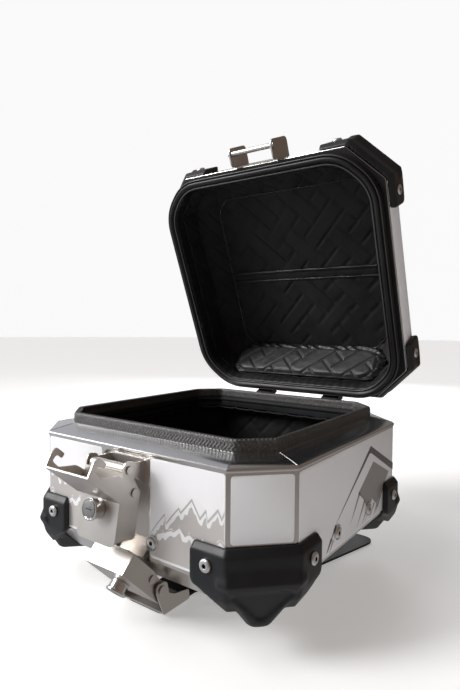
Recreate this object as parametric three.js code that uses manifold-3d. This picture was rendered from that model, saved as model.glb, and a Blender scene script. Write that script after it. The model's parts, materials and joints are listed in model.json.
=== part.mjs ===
// Aluminium motorcycle top case on its quick-release plate, lid open.
// Millimetres. X to the right, Y from the latch side to the hinge side, Z up.
// The origin is the middle of the plate's flat underside, where it bolts to a luggage rack.
import * as THREE from 'three';
import { mergeVertices } from 'three/addons/utils/BufferGeometryUtils.js';
import Module from 'manifold-3d';

const wasm = await Module();
wasm.setup();

// ---------------------------------------------------------------- driving dimensions
const GAP = 0.3; // clearance kept between neighbouring pieces

const CASE_HALF = 195; // half the width and half the depth of the box
const CORNER_CUT = 51; // leg of the cut-off vertical corners
const CORNER_ROUND = 4; // rounding of the vertical folds
const SHEET = 2; // aluminium sheet

const EDGE_Z = 198; // top outer edge of the base
const BASE_BEND = 118; // from that edge down to the fold of the bottom bevel
const BEVEL = 42; // height of the bevels
const BEVEL_IN = 39; // how far the bevels lean in
const BASE_BOTTOM_Z = EDGE_Z - BASE_BEND - BEVEL;

const LID_LIFT = 27.5; // from the base's edge up to the rim of the closed lid
const LID_BEND = 44; // from the lid's rim up to the fold of its bevel
const LID_RIM_Z = EDGE_Z + LID_LIFT;
const LID_TOP_Z = LID_RIM_Z + LID_BEND + BEVEL;
const LID_OPEN = 67.66; // degrees the lid stands open at rest
const HINGE_Y = 206.5;
const HINGE_Z = EDGE_Z + 8.5;
const HINGE_X = 65.5; // middle of each hinge
const HINGE_WIDTH = 60;

const RIM_IN = 30; // from the outer edge to the collar
const RIM_RISE = 7.5; // how much the rim slopes up towards the collar
const COLLAR_TOP = 24; // above the base's edge
const SKIRT_DROP = 21.6; // how far the lid's seal reaches below its rim

const PLATE_THICK = 3;
const LINER = 5;

const material = (color, roughness, metalness) =>
  new THREE.MeshStandardMaterial({ color, roughness, metalness });
const FINISH = {
  aluminium: material(0xc9c5c0, 0.35, 0.9),
  rim: material(0xcfcecb, 0.28, 0.95),
  moulded: material(0x2b2d30, 0.6, 0),
  rubber: material(0x1d1e20, 0.75, 0),
  fabric: material(0x222327, 0.85, 0),
  steel: material(0xb8b2aa, 0.32, 1),
  chrome: material(0xd8dadc, 0.12, 1),
  bolt: material(0xb5b5b5, 0.3, 1),
  blackSteel: material(0x18191b, 0.5, 0.3),
  greyPlate: material(0x2e2f31, 0.45, 0.6),
};

// ---------------------------------------------------------------- solid helpers
const solidOf = (geometry) => {
  const bare = geometry.index ? geometry.toNonIndexed() : geometry.clone();
  bare.deleteAttribute('normal');
  bare.deleteAttribute('uv');
  const merged = mergeVertices(bare, 1e-4);
  return new wasm.Manifold(new wasm.Mesh({
    numProp: 3,
    vertProperties: new Float32Array(merged.attributes.position.array),
    triVerts: new Uint32Array(merged.index.array),
  }));
};

const geometryOf = (solid) => {
  const mesh = solid.getMesh();
  const points = new Float32Array(mesh.numVert * 3);
  for (let i = 0; i < mesh.numVert; i += 1) {
    for (let k = 0; k < 3; k += 1) points[3 * i + k] = mesh.vertProperties[i * mesh.numProp + k];
  }
  const geometry = new THREE.BufferGeometry();
  geometry.setAttribute('position', new THREE.BufferAttribute(points, 3));
  geometry.setIndex(new THREE.BufferAttribute(new Uint32Array(mesh.triVerts), 1));
  return geometry;
};

const join = (...solids) => solids.reduce((whole, next) => whole.add(next));
const cut = (body, ...tools) => tools.reduce((whole, tool) => whole.subtract(tool), body);

const moved = (geometry, matrix) => {
  const copy = geometry.clone();
  copy.applyMatrix4(matrix);
  if (matrix.determinant() < 0) {
    const flat = copy.index ? copy.toNonIndexed() : copy;
    const p = flat.attributes.position;
    for (let i = 0; i < p.count; i += 3) {
      const [x, y, z] = [p.getX(i), p.getY(i), p.getZ(i)];
      p.setXYZ(i, p.getX(i + 1), p.getY(i + 1), p.getZ(i + 1));
      p.setXYZ(i + 1, x, y, z);
    }
    return flat;
  }
  return copy;
};

const move = (x, y, z) => new THREE.Matrix4().makeTranslation(x, y, z);

// A box from its lowest to its highest corner.
const box = (x0, x1, y0, y1, z0, z1) => moved(
  new THREE.BoxGeometry(x1 - x0, y1 - y0, z1 - z0),
  move((x0 + x1) / 2, (y0 + y1) / 2, (z0 + z1) / 2),
);

// A round bar along X.
const barX = (radius, x0, x1, y, z, sides = 20) => moved(
  moved(new THREE.CylinderGeometry(radius, radius, x1 - x0, sides),
    new THREE.Matrix4().makeRotationZ(Math.PI / 2)),
  move((x0 + x1) / 2, y, z),
);

// A flat outline in the YZ plane, thick along X from x0 to x1.
const plateX = (shape, x0, x1, curveSegments = 6) => moved(
  new THREE.ExtrudeGeometry(shape, { depth: x1 - x0, bevelEnabled: false, curveSegments }),
  new THREE.Matrix4().makeBasis(
    new THREE.Vector3(0, 1, 0), new THREE.Vector3(0, 0, 1), new THREE.Vector3(1, 0, 0),
  ).setPosition(x0, 0, 0),
);

// A flat outline in the XY plane, thick along Z from z0 to z1.
const plateZ = (shape, z0, z1, curveSegments = 6) => moved(
  new THREE.ExtrudeGeometry(shape, { depth: z1 - z0, bevelEnabled: false, curveSegments }),
  move(0, 0, z0),
);

// A closed outline with each corner rounded: points are [x, y, radius].
const roundedShape = (points) => {
  const shape = new THREE.Shape();
  const n = points.length;
  points.forEach(([x, y, radius = 0], i) => {
    const corner = new THREE.Vector2(x, y);
    const before = new THREE.Vector2(...points[(i + n - 1) % n].slice(0, 2)).sub(corner);
    const after = new THREE.Vector2(...points[(i + 1) % n].slice(0, 2)).sub(corner);
    const half = Math.abs(before.angle() - after.angle()) / 2;
    const reach = radius === 0 ? 0 : Math.min(
      radius / Math.abs(Math.tan(half)), before.length() / 2.01, after.length() / 2.01,
    );
    const start = corner.clone().addScaledVector(before.normalize(), reach);
    const end = corner.clone().addScaledVector(after.normalize(), reach);
    if (i === 0) shape.moveTo(start.x, start.y);
    else shape.lineTo(start.x, start.y);
    if (reach > 0) shape.quadraticCurveTo(corner.x, corner.y, end.x, end.y);
  });
  shape.closePath();
  return shape;
};

// The case's eight-sided outline, moved in by inset, its corners rounded in equal steps.
const caseOutline = (inset, round = CORNER_ROUND, steps = 1) => {
  const half = CASE_HALF - inset;
  const leg = CORNER_CUT - (2 - Math.SQRT2) * inset;
  const long = half - leg;
  const corners = [
    [half, -long], [half, long], [long, half], [-long, half],
    [-half, long], [-half, -long], [-long, -half], [long, -half],
  ];
  const tangent = round * Math.tan(Math.PI / 8);
  const outline = [];
  corners.forEach(([x, y], i) => {
    const corner = new THREE.Vector2(x, y);
    const centreAway = Math.hypot(round, tangent);
    const inward = Math.PI * (i * 0.25 - 0.125);
    const centre = corner.clone().sub(
      new THREE.Vector2(Math.cos(inward), Math.sin(inward)).multiplyScalar(centreAway),
    );
    for (let k = 0; k <= steps; k += 1) {
      const angle = inward + (k / steps - 0.5) * (Math.PI / 4);
      outline.push(new THREE.Vector2(
        centre.x + round * Math.cos(angle), centre.y + round * Math.sin(angle),
      ));
    }
  });
  return outline;
};

// A skin of rings: each row is [inset, z]. A closed profile makes a hoop, an open one is
// capped flat at both ends and makes a tub.
const hoopOrTub = (rows, outlineOf, closed) => {
  const rings = rows.map(([inset, z]) => outlineOf(inset).map((p) => [p.x, p.y, z]));
  const n = rings[0].length;
  const points = rings.flat();
  const faces = [];
  const last = closed ? rings.length : rings.length - 1;
  for (let r = 0; r < last; r += 1) {
    const [low, high] = [r * n, ((r + 1) % rings.length) * n];
    for (let i = 0; i < n; i += 1) {
      const j = (i + 1) % n;
      faces.push(low + i, low + j, high + j, low + i, high + j, high + i);
    }
  }
  if (!closed) {
    const cap = (ring, turn) => {
      const middle = points.length;
      points.push([0, 0, rings[ring][0][2]]);
      for (let i = 0; i < n; i += 1) {
        const [a, b] = [ring * n + i, ring * n + ((i + 1) % n)];
        faces.push(...(turn ? [middle, b, a] : [middle, a, b]));
      }
    };
    cap(0, true);
    cap(rings.length - 1, false);
  }
  const geometry = new THREE.BufferGeometry();
  geometry.setAttribute('position', new THREE.Float32BufferAttribute(points.flat(), 3));
  geometry.setIndex(faces);
  return geometry;
};

// ---------------------------------------------------------------- scene and groups
const topCase = new THREE.Group();

// Everything on the lid is drawn in its closed place inside this group, which then swings
// open about the hinge.
const lid = new THREE.Group();
const swing = new THREE.Matrix4()
  .makeTranslation(0, HINGE_Y, HINGE_Z)
  .multiply(new THREE.Matrix4().makeRotationX(-THREE.MathUtils.degToRad(LID_OPEN)))
  .multiply(move(0, -HINGE_Y, -HINGE_Z));
lid.applyMatrix4(swing);
topCase.add(lid);

const add = (group, name, geometry, finish) => {
  const mesh = new THREE.Mesh(geometry, finish);
  mesh.name = name;
  group.add(mesh);
};

const SIDES = [['left', -1], ['right', 1]];
const CORNERS = [['front_left', -1, -1], ['front_right', 1, -1],
  ['rear_left', -1, 1], ['rear_right', 1, 1]];

// ---------------------------------------------------------------- base
const POCKET_HALF = 37; // recess in the front wall behind the latch
const POCKET_DEEP = 5;
const POCKET_TOP = EDGE_Z - 5;
const POCKET_LOW = EDGE_Z - 150; // it runs down through the bevel
const BEVEL_SLOPE = BEVEL_IN / BEVEL;

// Rows of a wall, a soft fold and a bevel, as seen from outside, moved in by inset.
const wallRows = (zRim, bend, direction, inset) => {
  const fold = 5;
  const lean = Math.hypot(BEVEL, BEVEL_IN);
  const foldAt = bend - inset * 0.4;
  const end = bend + BEVEL - inset;
  const bevelIn = (z) => inset + (z - foldAt) * BEVEL_SLOPE;
  return [
    [inset, zRim],
    [inset, zRim + direction * (foldAt - fold)],
    [inset + 1.1, zRim + direction * foldAt],
    [inset + fold * (BEVEL_IN / lean), zRim + direction * (foldAt + fold * (BEVEL / lean))],
    [bevelIn(end - 3), zRim + direction * (end - 3)],
    [bevelIn(end) + 3, zRim + direction * end],
  ];
};

const outerRows = wallRows(EDGE_Z, BASE_BEND, -1, 0).reverse();
const innerRows = wallRows(EDGE_Z, BASE_BEND, -1, SHEET);
const baseTub = solidOf(hoopOrTub([...outerRows, ...innerRows], caseOutline, false));

const pocketShape = (grow) => roundedShape([
  [-POCKET_HALF - grow, POCKET_LOW, 0],
  [POCKET_HALF + grow, POCKET_LOW, 0],
  [POCKET_HALF + grow, POCKET_TOP + grow, 9],
  [-POCKET_HALF - grow, POCKET_TOP + grow, 9],
]);
const facingFront = (shape, yFront, yBack) => moved(
  new THREE.ExtrudeGeometry(shape, { depth: yBack - yFront, bevelEnabled: false, curveSegments: 4 }),
  new THREE.Matrix4().makeBasis(
    new THREE.Vector3(-1, 0, 0), new THREE.Vector3(0, 0, 1), new THREE.Vector3(0, 1, 0),
  ).setPosition(0, yFront, 0),
);
const pocketBoss = solidOf(facingFront(pocketShape(SHEET), -CASE_HALF, -CASE_HALF + POCKET_DEEP + SHEET));
const pocketRoom = solidOf(facingFront(pocketShape(0), -CASE_HALF - 1, -CASE_HALF + POCKET_DEEP));
const outerBlock = solidOf(hoopOrTub(outerRows, caseOutline, false));
add(topCase, 'base_shell', geometryOf(cut(
  join(baseTub, outerBlock.intersect(pocketBoss)), pocketRoom,
)), FINISH.aluminium);

// The rim is a mitred frame that slopes up from the folded edge to the collar.
const rimRows = [
  [0.4, EDGE_Z + GAP], [0, EDGE_Z + 1.3], [0.7, EDGE_Z + 2.6],
  [RIM_IN, EDGE_Z + RIM_RISE + 2], [RIM_IN, EDGE_Z + RIM_RISE - 0.5], [3, EDGE_Z + GAP],
];
add(topCase, 'base_rim', geometryOf(solidOf(
  hoopOrTub(rimRows, caseOutline, true),
)), FINISH.rim);

// Collar: a black moulded hoop that the lid's seal closes around.
const COLLAR_IN = RIM_IN + GAP;
const collarOutline = (inset) => caseOutline(inset, 12, 2);
const collarRows = [
  [COLLAR_IN + 0.5, EDGE_Z - 6], [COLLAR_IN, EDGE_Z + 2],
  [COLLAR_IN, EDGE_Z + COLLAR_TOP - 2.5], [COLLAR_IN + 1.2, EDGE_Z + COLLAR_TOP],
  [COLLAR_IN + 3.6, EDGE_Z + COLLAR_TOP], [COLLAR_IN + 5, EDGE_Z + COLLAR_TOP - 2],
  [COLLAR_IN + 5, EDGE_Z + 3], [COLLAR_IN + 7, EDGE_Z + 1], [COLLAR_IN + 7, EDGE_Z - 6],
];
add(topCase, 'base_collar', geometryOf(solidOf(
  hoopOrTub(collarRows, collarOutline, true),
)), FINISH.rubber);

// Padded liner: a tub inside the sheet, its top edge tucked under the collar.
const linerIn = SHEET + POCKET_DEEP + GAP;
const linerLow = BASE_BOTTOM_Z + SHEET + GAP;
const linerRows = [
  [linerIn + BEVEL_IN + 1, linerLow], [linerIn, EDGE_Z - BASE_BEND + 6], [linerIn, EDGE_Z - 24],
  [COLLAR_IN + 1, EDGE_Z - 6 - GAP], [COLLAR_IN + 7, EDGE_Z - 6 - GAP],
  [linerIn + LINER, EDGE_Z - 30], [linerIn + LINER, EDGE_Z - BASE_BEND + 6],
  [linerIn + BEVEL_IN + 3, linerLow + LINER],
];
add(topCase, 'base_liner', geometryOf(solidOf(
  hoopOrTub(linerRows, caseOutline, false),
)), FINISH.fabric);

// ---------------------------------------------------------------- corner protectors
const GUARD_THICK = 8; // stands proud of the sheet
const GUARD_EDGE = 102; // where its tabs end along each face
const GUARD_RISE = 41.5; // from the fold to its straight edge
const GUARD_BULGE = 13; // how far the bumper stands proud
const GUARD_TIP = 48; // from the fold to the foot's tip
const BOLT_ALONG = 124;
const BOLT_RISE = 21;

// A loft of rings with the same number of points, capped with fans.
const loft = (rings) => {
  const n = rings[0].length;
  const points = rings.flat();
  const faces = [];
  for (let r = 0; r < rings.length - 1; r += 1) {
    for (let i = 0; i < n; i += 1) {
      const [a, b] = [r * n + i, r * n + ((i + 1) % n)];
      faces.push(a, b, b + n, a, b + n, a + n);
    }
  }
  const cap = (ring, turn) => {
    const start = ring * n;
    for (let i = 1; i < n - 1; i += 1) {
      faces.push(...(turn ? [start, start + i + 1, start + i] : [start, start + i, start + i + 1]));
    }
  };
  cap(0, true);
  cap(rings.length - 1, false);
  const geometry = new THREE.BufferGeometry();
  geometry.setAttribute('position', new THREE.Float32BufferAttribute(points.flat(), 3));
  geometry.setIndex(faces);
  return geometry;
};

// Built about the fold: z = 0 is the fold, the straight wall is above and the bevel below.
// A layer of the tabs wraps the cut corner and both faces.
const tabLayer = (proud, end, z) => {
  const half = CASE_HALF + proud;
  const long = CASE_HALF - CORNER_CUT + proud * Math.tan(Math.PI / 8);
  const inner = 135;
  return [[end, -inner, z], [end, -half, z], [long, -half, z],
    [half, -long, z], [half, -end, z], [inner, -end, z]];
};

// A layer of the bumper and foot, square to the cut corner: flat for half its width, then
// leaning back by the same amount on both sides.
const CORNER_AWAY = (2 * CASE_HALF - CORNER_CUT) * Math.SQRT1_2;
const footLayer = (proud, flat, wrap, z) => {
  const face = CORNER_AWAY + proud;
  const back = CORNER_AWAY - 58;
  return [[-flat - wrap, back], [-flat - wrap, face - wrap], [-flat, face],
    [flat, face], [flat + wrap, face - wrap], [flat + wrap, back]].map(([along, out]) => [
    (out + along) * Math.SQRT1_2, (along - out) * Math.SQRT1_2, z,
  ]);
};

const LEDGE = 3; // the foot's face starts this far above the fold
const LEDGE_FLAT = 38;
const TIP_FLAT = 8;
const TIP_IN = 7; // how far behind the cut corner's plane the tip stands
const buildGuard = () => {
  const tab = loft([
    tabLayer(GUARD_THICK - 11, GUARD_EDGE + 38, -26),
    tabLayer(GUARD_THICK - 3, GUARD_EDGE + 23, -13),
    tabLayer(GUARD_THICK, GUARD_EDGE + 2, -2),
    tabLayer(GUARD_THICK, GUARD_EDGE, 3),
    tabLayer(GUARD_THICK, GUARD_EDGE, GUARD_RISE - 8),
    tabLayer(GUARD_THICK - 5.5, GUARD_EDGE + 2, GUARD_RISE),
  ]);
  const foot = loft([
    footLayer(-TIP_IN - 3, TIP_FLAT - 3, 3, -GUARD_TIP),
    footLayer(-TIP_IN + 1, TIP_FLAT, 5, -GUARD_TIP + 3),
    footLayer(GUARD_BULGE - 1.5, LEDGE_FLAT, 9, LEDGE),
    footLayer(GUARD_BULGE, LEDGE_FLAT, 9, LEDGE + 3),
    footLayer(GUARD_BULGE - 1, LEDGE_FLAT, 9, LEDGE + 6),
    footLayer(GUARD_THICK + 1.5, LEDGE_FLAT, 6, LEDGE + 12),
    footLayer(GUARD_THICK - 1, LEDGE_FLAT - 2, 4, LEDGE + 19),
  ]);
  const [boltY, boltZ] = [-CASE_HALF - GUARD_THICK, BOLT_RISE];
  const seat = moved(new THREE.CylinderGeometry(3.3, 3.3, 30, 14), move(BOLT_ALONG, boltY, boltZ));
  const mirrored = new THREE.Matrix4().set(0, -1, 0, 0, -1, 0, 0, 0, 0, 0, 1, 0, 0, 0, 0, 1);
  const inside = solidOf(hoopOrTub(
    [[BEVEL_SLOPE * (BEVEL + 12) - 1.5 * GAP, -BEVEL - 12], [-GAP, -0.1], [-GAP, 80]],
    (inset) => caseOutline(inset), false,
  ));
  // The foot's face carries a shallow triangular recess.
  const slope = Math.atan2(GUARD_BULGE - 1.5 + TIP_IN - 1, GUARD_TIP - 3 + LEDGE);
  const recess = moved(
    new THREE.ExtrudeGeometry(
      roundedShape([[0, -46, 5], [37, -6, 5], [-37, -6, 5]]),
      { depth: 20, bevelEnabled: false, curveSegments: 3 },
    ),
    new THREE.Matrix4().makeRotationY(Math.PI / 4)
      .premultiply(new THREE.Matrix4().makeRotationX(Math.PI / 2))
      .multiply(move(0, LEDGE, CORNER_AWAY + GUARD_BULGE - 1.5))
      .multiply(new THREE.Matrix4().makeRotationX(slope))
      .multiply(move(0, 0, -2.5)),
  );
  return cut(
    join(solidOf(tab), solidOf(foot)), inside, solidOf(recess),
    solidOf(seat), solidOf(moved(seat, mirrored)),
  );
};

const guard = geometryOf(buildGuard());
const boltHead = [[0, -7.8], [2.9, -7.8], [2.9, 0], [6.9, 0], [6.9, 1.2], [5.8, 2.9], [3.6, 3.8],
  [2.1, 4], [1.9, 2.6], [0, 2.6]].map(([r, y]) => new THREE.Vector2(r, y));
const boltBody = new THREE.LatheGeometry(boltHead, 14);

const addCorner = (group, part, foldZ, flip) => {
  CORNERS.forEach(([name, sx, sy]) => {
    const place = new THREE.Matrix4().makeScale(sx, -sy, flip).setPosition(0, 0, foldZ);
    add(group, `${part}_protector_${name}`, moved(guard, place), FINISH.moulded);
    const boltZ = foldZ + flip * BOLT_RISE;
    const away = CASE_HALF + GUARD_THICK + GAP;
    const toFace = new THREE.Matrix4().makeRotationZ(sy > 0 ? 0 : Math.PI)
      .setPosition(sx * BOLT_ALONG, sy * away, boltZ);
    add(group, `${part}_bolt_${name}_y`, moved(boltBody, toFace), FINISH.bolt);
    const toSide = new THREE.Matrix4().makeRotationZ(sx > 0 ? -Math.PI / 2 : Math.PI / 2)
      .setPosition(sx * away, sy * BOLT_ALONG, boltZ);
    add(group, `${part}_bolt_${name}_x`, moved(boltBody, toSide), FINISH.bolt);
  });
};
addCorner(topCase, 'base', EDGE_Z - BASE_BEND, 1);
addCorner(lid, 'lid', LID_RIM_Z + LID_BEND, -1);

// ---------------------------------------------------------------- lid
const lidOuter = wallRows(LID_RIM_Z, LID_BEND, 1, 0);
const lidInner = wallRows(LID_RIM_Z, LID_BEND, 1, SHEET).reverse();
add(lid, 'lid_shell', geometryOf(solidOf(
  hoopOrTub([...lidInner, ...lidOuter], caseOutline, false),
)), FINISH.aluminium);

// Black moulded frame that closes the lid's rim, with the seal standing on it.
const FRAME_IN = 19; // from the outer edge to the frame's opening
const FRAME_TOP = LID_RIM_Z + 5;
const sheetIn = SHEET + GAP + 0.3;
const frameRows = [
  [FRAME_IN, FRAME_TOP], [FRAME_IN, LID_RIM_Z - 2], [0.6, LID_RIM_Z - 2],
  [0.6, LID_RIM_Z - GAP], [sheetIn, LID_RIM_Z - GAP], [sheetIn, FRAME_TOP],
];
add(lid, 'lid_frame', geometryOf(solidOf(
  hoopOrTub(frameRows, caseOutline, true),
)), FINISH.moulded);

const sealOutline = (inset) => caseOutline(inset, 78 - inset, 6);
const sealTop = LID_RIM_Z - 2 - GAP;
const sealLow = LID_RIM_Z - SKIRT_DROP;
const sealRows = [
  [17.5, sealTop], [17.5, sealLow + 3.5], [16, sealLow + 2], [13.5, sealLow + 1.6],
  [12.5, sealLow + 5], [11, sealLow + 5], [10, sealLow + 0.4], [7, sealLow - 0.2],
  [5, sealLow + 2.2], [5, sealTop],
];
add(lid, 'lid_seal', geometryOf(solidOf(hoopOrTub(sealRows, sealOutline, true))), FINISH.rubber);

// The lid's padded liner stands off the sheet and starts at the frame.
const LID_LINER_IN = 14;
const linerCrown = LID_TOP_Z - SHEET - GAP;
const crownIn = LID_LINER_IN + BEVEL_IN - 6;
const lidLinerRows = [
  [crownIn + 3, linerCrown - LINER], [FRAME_IN, LID_RIM_Z + LID_BEND],
  [FRAME_IN, FRAME_TOP + GAP], [LID_LINER_IN, FRAME_TOP + GAP],
  [LID_LINER_IN, LID_RIM_Z + LID_BEND], [crownIn, linerCrown],
];
add(lid, 'lid_liner', geometryOf(solidOf(
  hoopOrTub(lidLinerRows, caseOutline, false),
)), FINISH.fabric);

// Padded panel that leans from the frame beside the hinges up to the edge of the crown.
const PAD_HALF = 120;
const PAD_THICK = 9;
const PAD_GAP = 0.6; // between the pad and the liner behind it
const padLow = FRAME_TOP + 2;
const padTop = linerCrown - LINER - 1.4;
const padWall = CASE_HALF - FRAME_IN - PAD_GAP;
const padCrown = CASE_HALF - crownIn - 2.5;
add(lid, 'lid_pad', geometryOf(solidOf(plateX(roundedShape([
  [padWall - PAD_THICK, padLow, 1], [padWall, padLow, 1], [padWall, LID_RIM_Z + LID_BEND - PAD_GAP, 2],
  [padCrown, padTop, 1], [padCrown - PAD_THICK, padTop - 4, 3],
]), -PAD_HALF, PAD_HALF))), FINISH.fabric);

// ---------------------------------------------------------------- hinges
const KNUCKLE = 6.5;
const LEAF_THICK = 3;
const leafFace = CASE_HALF + GAP;
const PIN_RADIUS = 2.5;
const endKnuckle = 15; // length of each of the base's two knuckles
const pinSpace = PIN_RADIUS + GAP;

const hingeCentre = (side) => side * HINGE_X;
SIDES.forEach(([name, side]) => {
  const x = hingeCentre(side);
  const [x0, x1] = [x - HINGE_WIDTH / 2, x + HINGE_WIDTH / 2];
  const bore = solidOf(barX(pinSpace, x0 - 1, x1 + 1, HINGE_Y, HINGE_Z));
  const hoop = (a, b) => solidOf(barX(KNUCKLE, a, b, HINGE_Y, HINGE_Z));
  const web = (a, b, low, high) => solidOf(box(a, b, leafFace, HINGE_Y, low, high));
  const ends = [[x0, x0 + endKnuckle], [x1 - endKnuckle, x1]];
  const baseLeaf = join(
    solidOf(box(x0, x1, leafFace, leafFace + LEAF_THICK, EDGE_Z - 45, EDGE_Z)),
    ...ends.map(([a, b]) => web(a, b, EDGE_Z - 3, HINGE_Z)),
    ...ends.map(([a, b]) => hoop(a, b)),
  );
  add(topCase, `hinge_base_leaf_${name}`, geometryOf(cut(baseLeaf, bore)), FINISH.blackSteel);
  const [m0, m1] = [x0 + endKnuckle + GAP, x1 - endKnuckle - GAP];
  const lidLeaf = join(
    solidOf(box(x0, x1, leafFace, leafFace + LEAF_THICK, LID_RIM_Z + 1, LID_RIM_Z + 40)),
    web(m0, m1, HINGE_Z, LID_RIM_Z + 4),
    hoop(m0, m1),
  );
  add(lid, `hinge_lid_leaf_${name}`, geometryOf(cut(lidLeaf, bore)), FINISH.blackSteel);
  add(topCase, `hinge_pin_${name}`,
    barX(PIN_RADIUS, x0 - 0.5, x1 + 0.5, HINGE_Y, HINGE_Z, 16), FINISH.steel);
});

// ---------------------------------------------------------------- latches
const METAL = 1.8; // stainless sheet of the latches
const COVER_HALF = 31.1;
const EAR_IN = 27;
const LEVER_IN = 33.3;
const PIN = 3;
const PIN_HOLE = PIN + GAP;
const LOCK_BODY = 11;
const LOCK_CAP = 12.5;
const LOCK_NECK = 9;
const LOCK_BORE = 7;
const LOCK_REACH = 10; // from the cover's face to the back of the cap

// A turned part along X: rows are [x, radius].
const turnedX = (rows, sides = 18) => moved(
  new THREE.LatheGeometry(
    [[rows[0][0], 0], ...rows, [rows[rows.length - 1][0], 0]].map(([x, r]) => new THREE.Vector2(r, x)),
    sides,
  ),
  new THREE.Matrix4().makeRotationZ(-Math.PI / 2),
);

// A pin with a head at each end, its middle fatter by choice.
const headedPin = (reach, head, headRadius, middle = 0, middleRadius = PIN) => {
  const half = [[reach, PIN], [reach, headRadius], [reach + head, headRadius]];
  if (middle > 0) half.unshift([middle, middleRadius], [middle, PIN]);
  return turnedX([...half.map(([x, r]) => [-x, r]).reverse(), ...half]);
};

const bothSides = (shape, x0, x1) => [
  solidOf(plateX(shape, x0, x1)), solidOf(plateX(shape, -x1, -x0)),
];

// In each latch's own drawing the cover's pivot is the origin, the cover hangs down along -Z
// and its face looks along -Y. A boxed cover has a plate across its end too.
const coverSolid = ({
  face, back, top, end, hookPin, lockAt, faceTop, shoulder, boxed = false,
}) => {
  const wallEnd = boxed ? -end : -end + 6;
  const wall = roundedShape([
    [-face, top, 7], [shoulder, top, 7], [shoulder, -9, 5], [back, -24, 5],
    [back, wallEnd, boxed ? 1 : 5], [-face, wallEnd, 1],
  ]);
  const round = boxed ? 1.5 : 9;
  const front = facingFront(roundedShape([
    [-COVER_HALF, -end, round], [COVER_HALF, -end, round], [COVER_HALF, faceTop, 1],
    [-COVER_HALF, faceTop, 1],
  ]), -face, -face + METAL);
  const across = boxed
    ? [solidOf(box(-COVER_HALF, COVER_HALF, -face, back, -end, -end + METAL))] : [];
  const [pivotHole, hookHole] = [[0, 0], hookPin].map(
    ([y, z]) => solidOf(barX(PIN_HOLE, -50, 50, y, z, 18)),
  );
  const lockHole = solidOf(moved(
    new THREE.CylinderGeometry(LOCK_NECK + GAP, LOCK_NECK + GAP, 8, 24),
    move(0, -face, -lockAt),
  ));
  return cut(
    join(solidOf(front), ...bothSides(wall, COVER_HALF - METAL, COVER_HALF), ...across),
    pivotHole, hookHole, lockHole,
  );
};

const turnedOut = (rows, y, z, closed) => {
  const points = rows.map(([out, r]) => new THREE.Vector2(r, out));
  if (closed) points.push(points[0].clone());
  return moved(
    new THREE.LatheGeometry(points, 24),
    new THREE.Matrix4().makeRotationX(Math.PI).setPosition(0, y, z),
  );
};

const lockBarrel = (face, lockAt, depth) => turnedOut([
  [-depth, LOCK_BORE], [-depth, LOCK_NECK], [GAP, LOCK_NECK], [GAP, LOCK_BODY],
  [LOCK_REACH, LOCK_BODY], [LOCK_REACH, LOCK_BORE],
], -face, -lockAt, true);

const lockPlug = (face, lockAt, depth) => {
  const shaft = LOCK_BORE - GAP;
  const body = solidOf(turnedOut([
    [-depth - 2.5, 0], [-depth - 2.5, shaft - 2], [-depth - GAP, shaft - 2], [-depth - GAP, shaft],
    [LOCK_REACH + GAP, shaft], [LOCK_REACH + GAP, LOCK_CAP - 0.6], [LOCK_REACH + 0.9, LOCK_CAP],
    [LOCK_REACH + 2.6, LOCK_CAP], [LOCK_REACH + 3.3, LOCK_CAP - 0.8],
    [LOCK_REACH + 3.3, LOCK_CAP - 2], [LOCK_REACH + 2.7, LOCK_CAP - 2.6], [LOCK_REACH + 2.7, 0],
  ], -face, -lockAt, false));
  const cam = solidOf(box(
    -3.5, 3.5, -face + depth + 0.5, -face + depth + 2.3, -lockAt - 4, -lockAt + 12,
  ));
  return join(body, cam);
};

// Hook lever: u runs from its pivot to the bar that it pulls, v points away from the case. A
// claw's own outline goes round the bar; without one, a seat with a straight mouth is cut.
const leverSolid = ({ reach, outline, web, x0, barRadius, upward, claw = false }) => {
  const at = ([u, v, r = 0]) => [-v, upward * u, r];
  const side = roundedShape(outline.map(at));
  const x1 = x0 + METAL;
  const [u0, v0, u1, v1] = web;
  const band = roundedShape([[u0, v0], [u1, v1], [u1, v1 + METAL], [u0, v0 + METAL]].map(at));
  const sides = bothSides(side, x0, x1);
  const across = solidOf(plateX(band, -x1, x1));
  const hole = solidOf(barX(PIN_HOLE, -60, 60, 0, 0, 18));
  if (claw) return cut(join(...sides, across), hole);
  const slack = barRadius + 0.55;
  const seat = solidOf(barX(slack, -60, 60, 0, upward * reach, 18));
  const zs = [upward * (reach - slack), upward * (reach + slack)];
  const mouth = solidOf(box(-60, 60, 0, 30, Math.min(...zs), Math.max(...zs)));
  return cut(join(...sides, across), hole, seat, mouth);
};

// Upper latch, on the front wall.
const PIVOT_Y = -CASE_HALF - 23.5;
const PIVOT_Z = EDGE_Z - 14;
const COVER_REST = 10; // degrees the cover stands away from the case at rest
const STRIKER_Y = -CASE_HALF - 22;
const STRIKER_Z = LID_RIM_Z - 6.3;
const STRIKER_RADIUS = 3.75;
const HOOK_PIN = [8, -23.5]; // from the cover's pivot, in Y and Z, cover closed
const HOOK_REST = 45; // degrees the lever leans out from upright at rest
const CLAW_TURN = THREE.MathUtils.degToRad(8.9); // from the lever's line to the bar in its claw
const hookOffset = new THREE.Vector2(
  STRIKER_Y - PIVOT_Y - HOOK_PIN[0], STRIKER_Z - PIVOT_Z - HOOK_PIN[1],
);
const hookReach = hookOffset.length();

const turnX = (degrees) => new THREE.Matrix4().makeRotationX(THREE.MathUtils.degToRad(degrees));
const groupAt = (parent, ...matrices) => {
  const group = new THREE.Group();
  group.applyMatrix4(matrices.reduce((all, next) => all.multiply(next), new THREE.Matrix4()));
  parent.add(group);
  return group;
};

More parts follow.
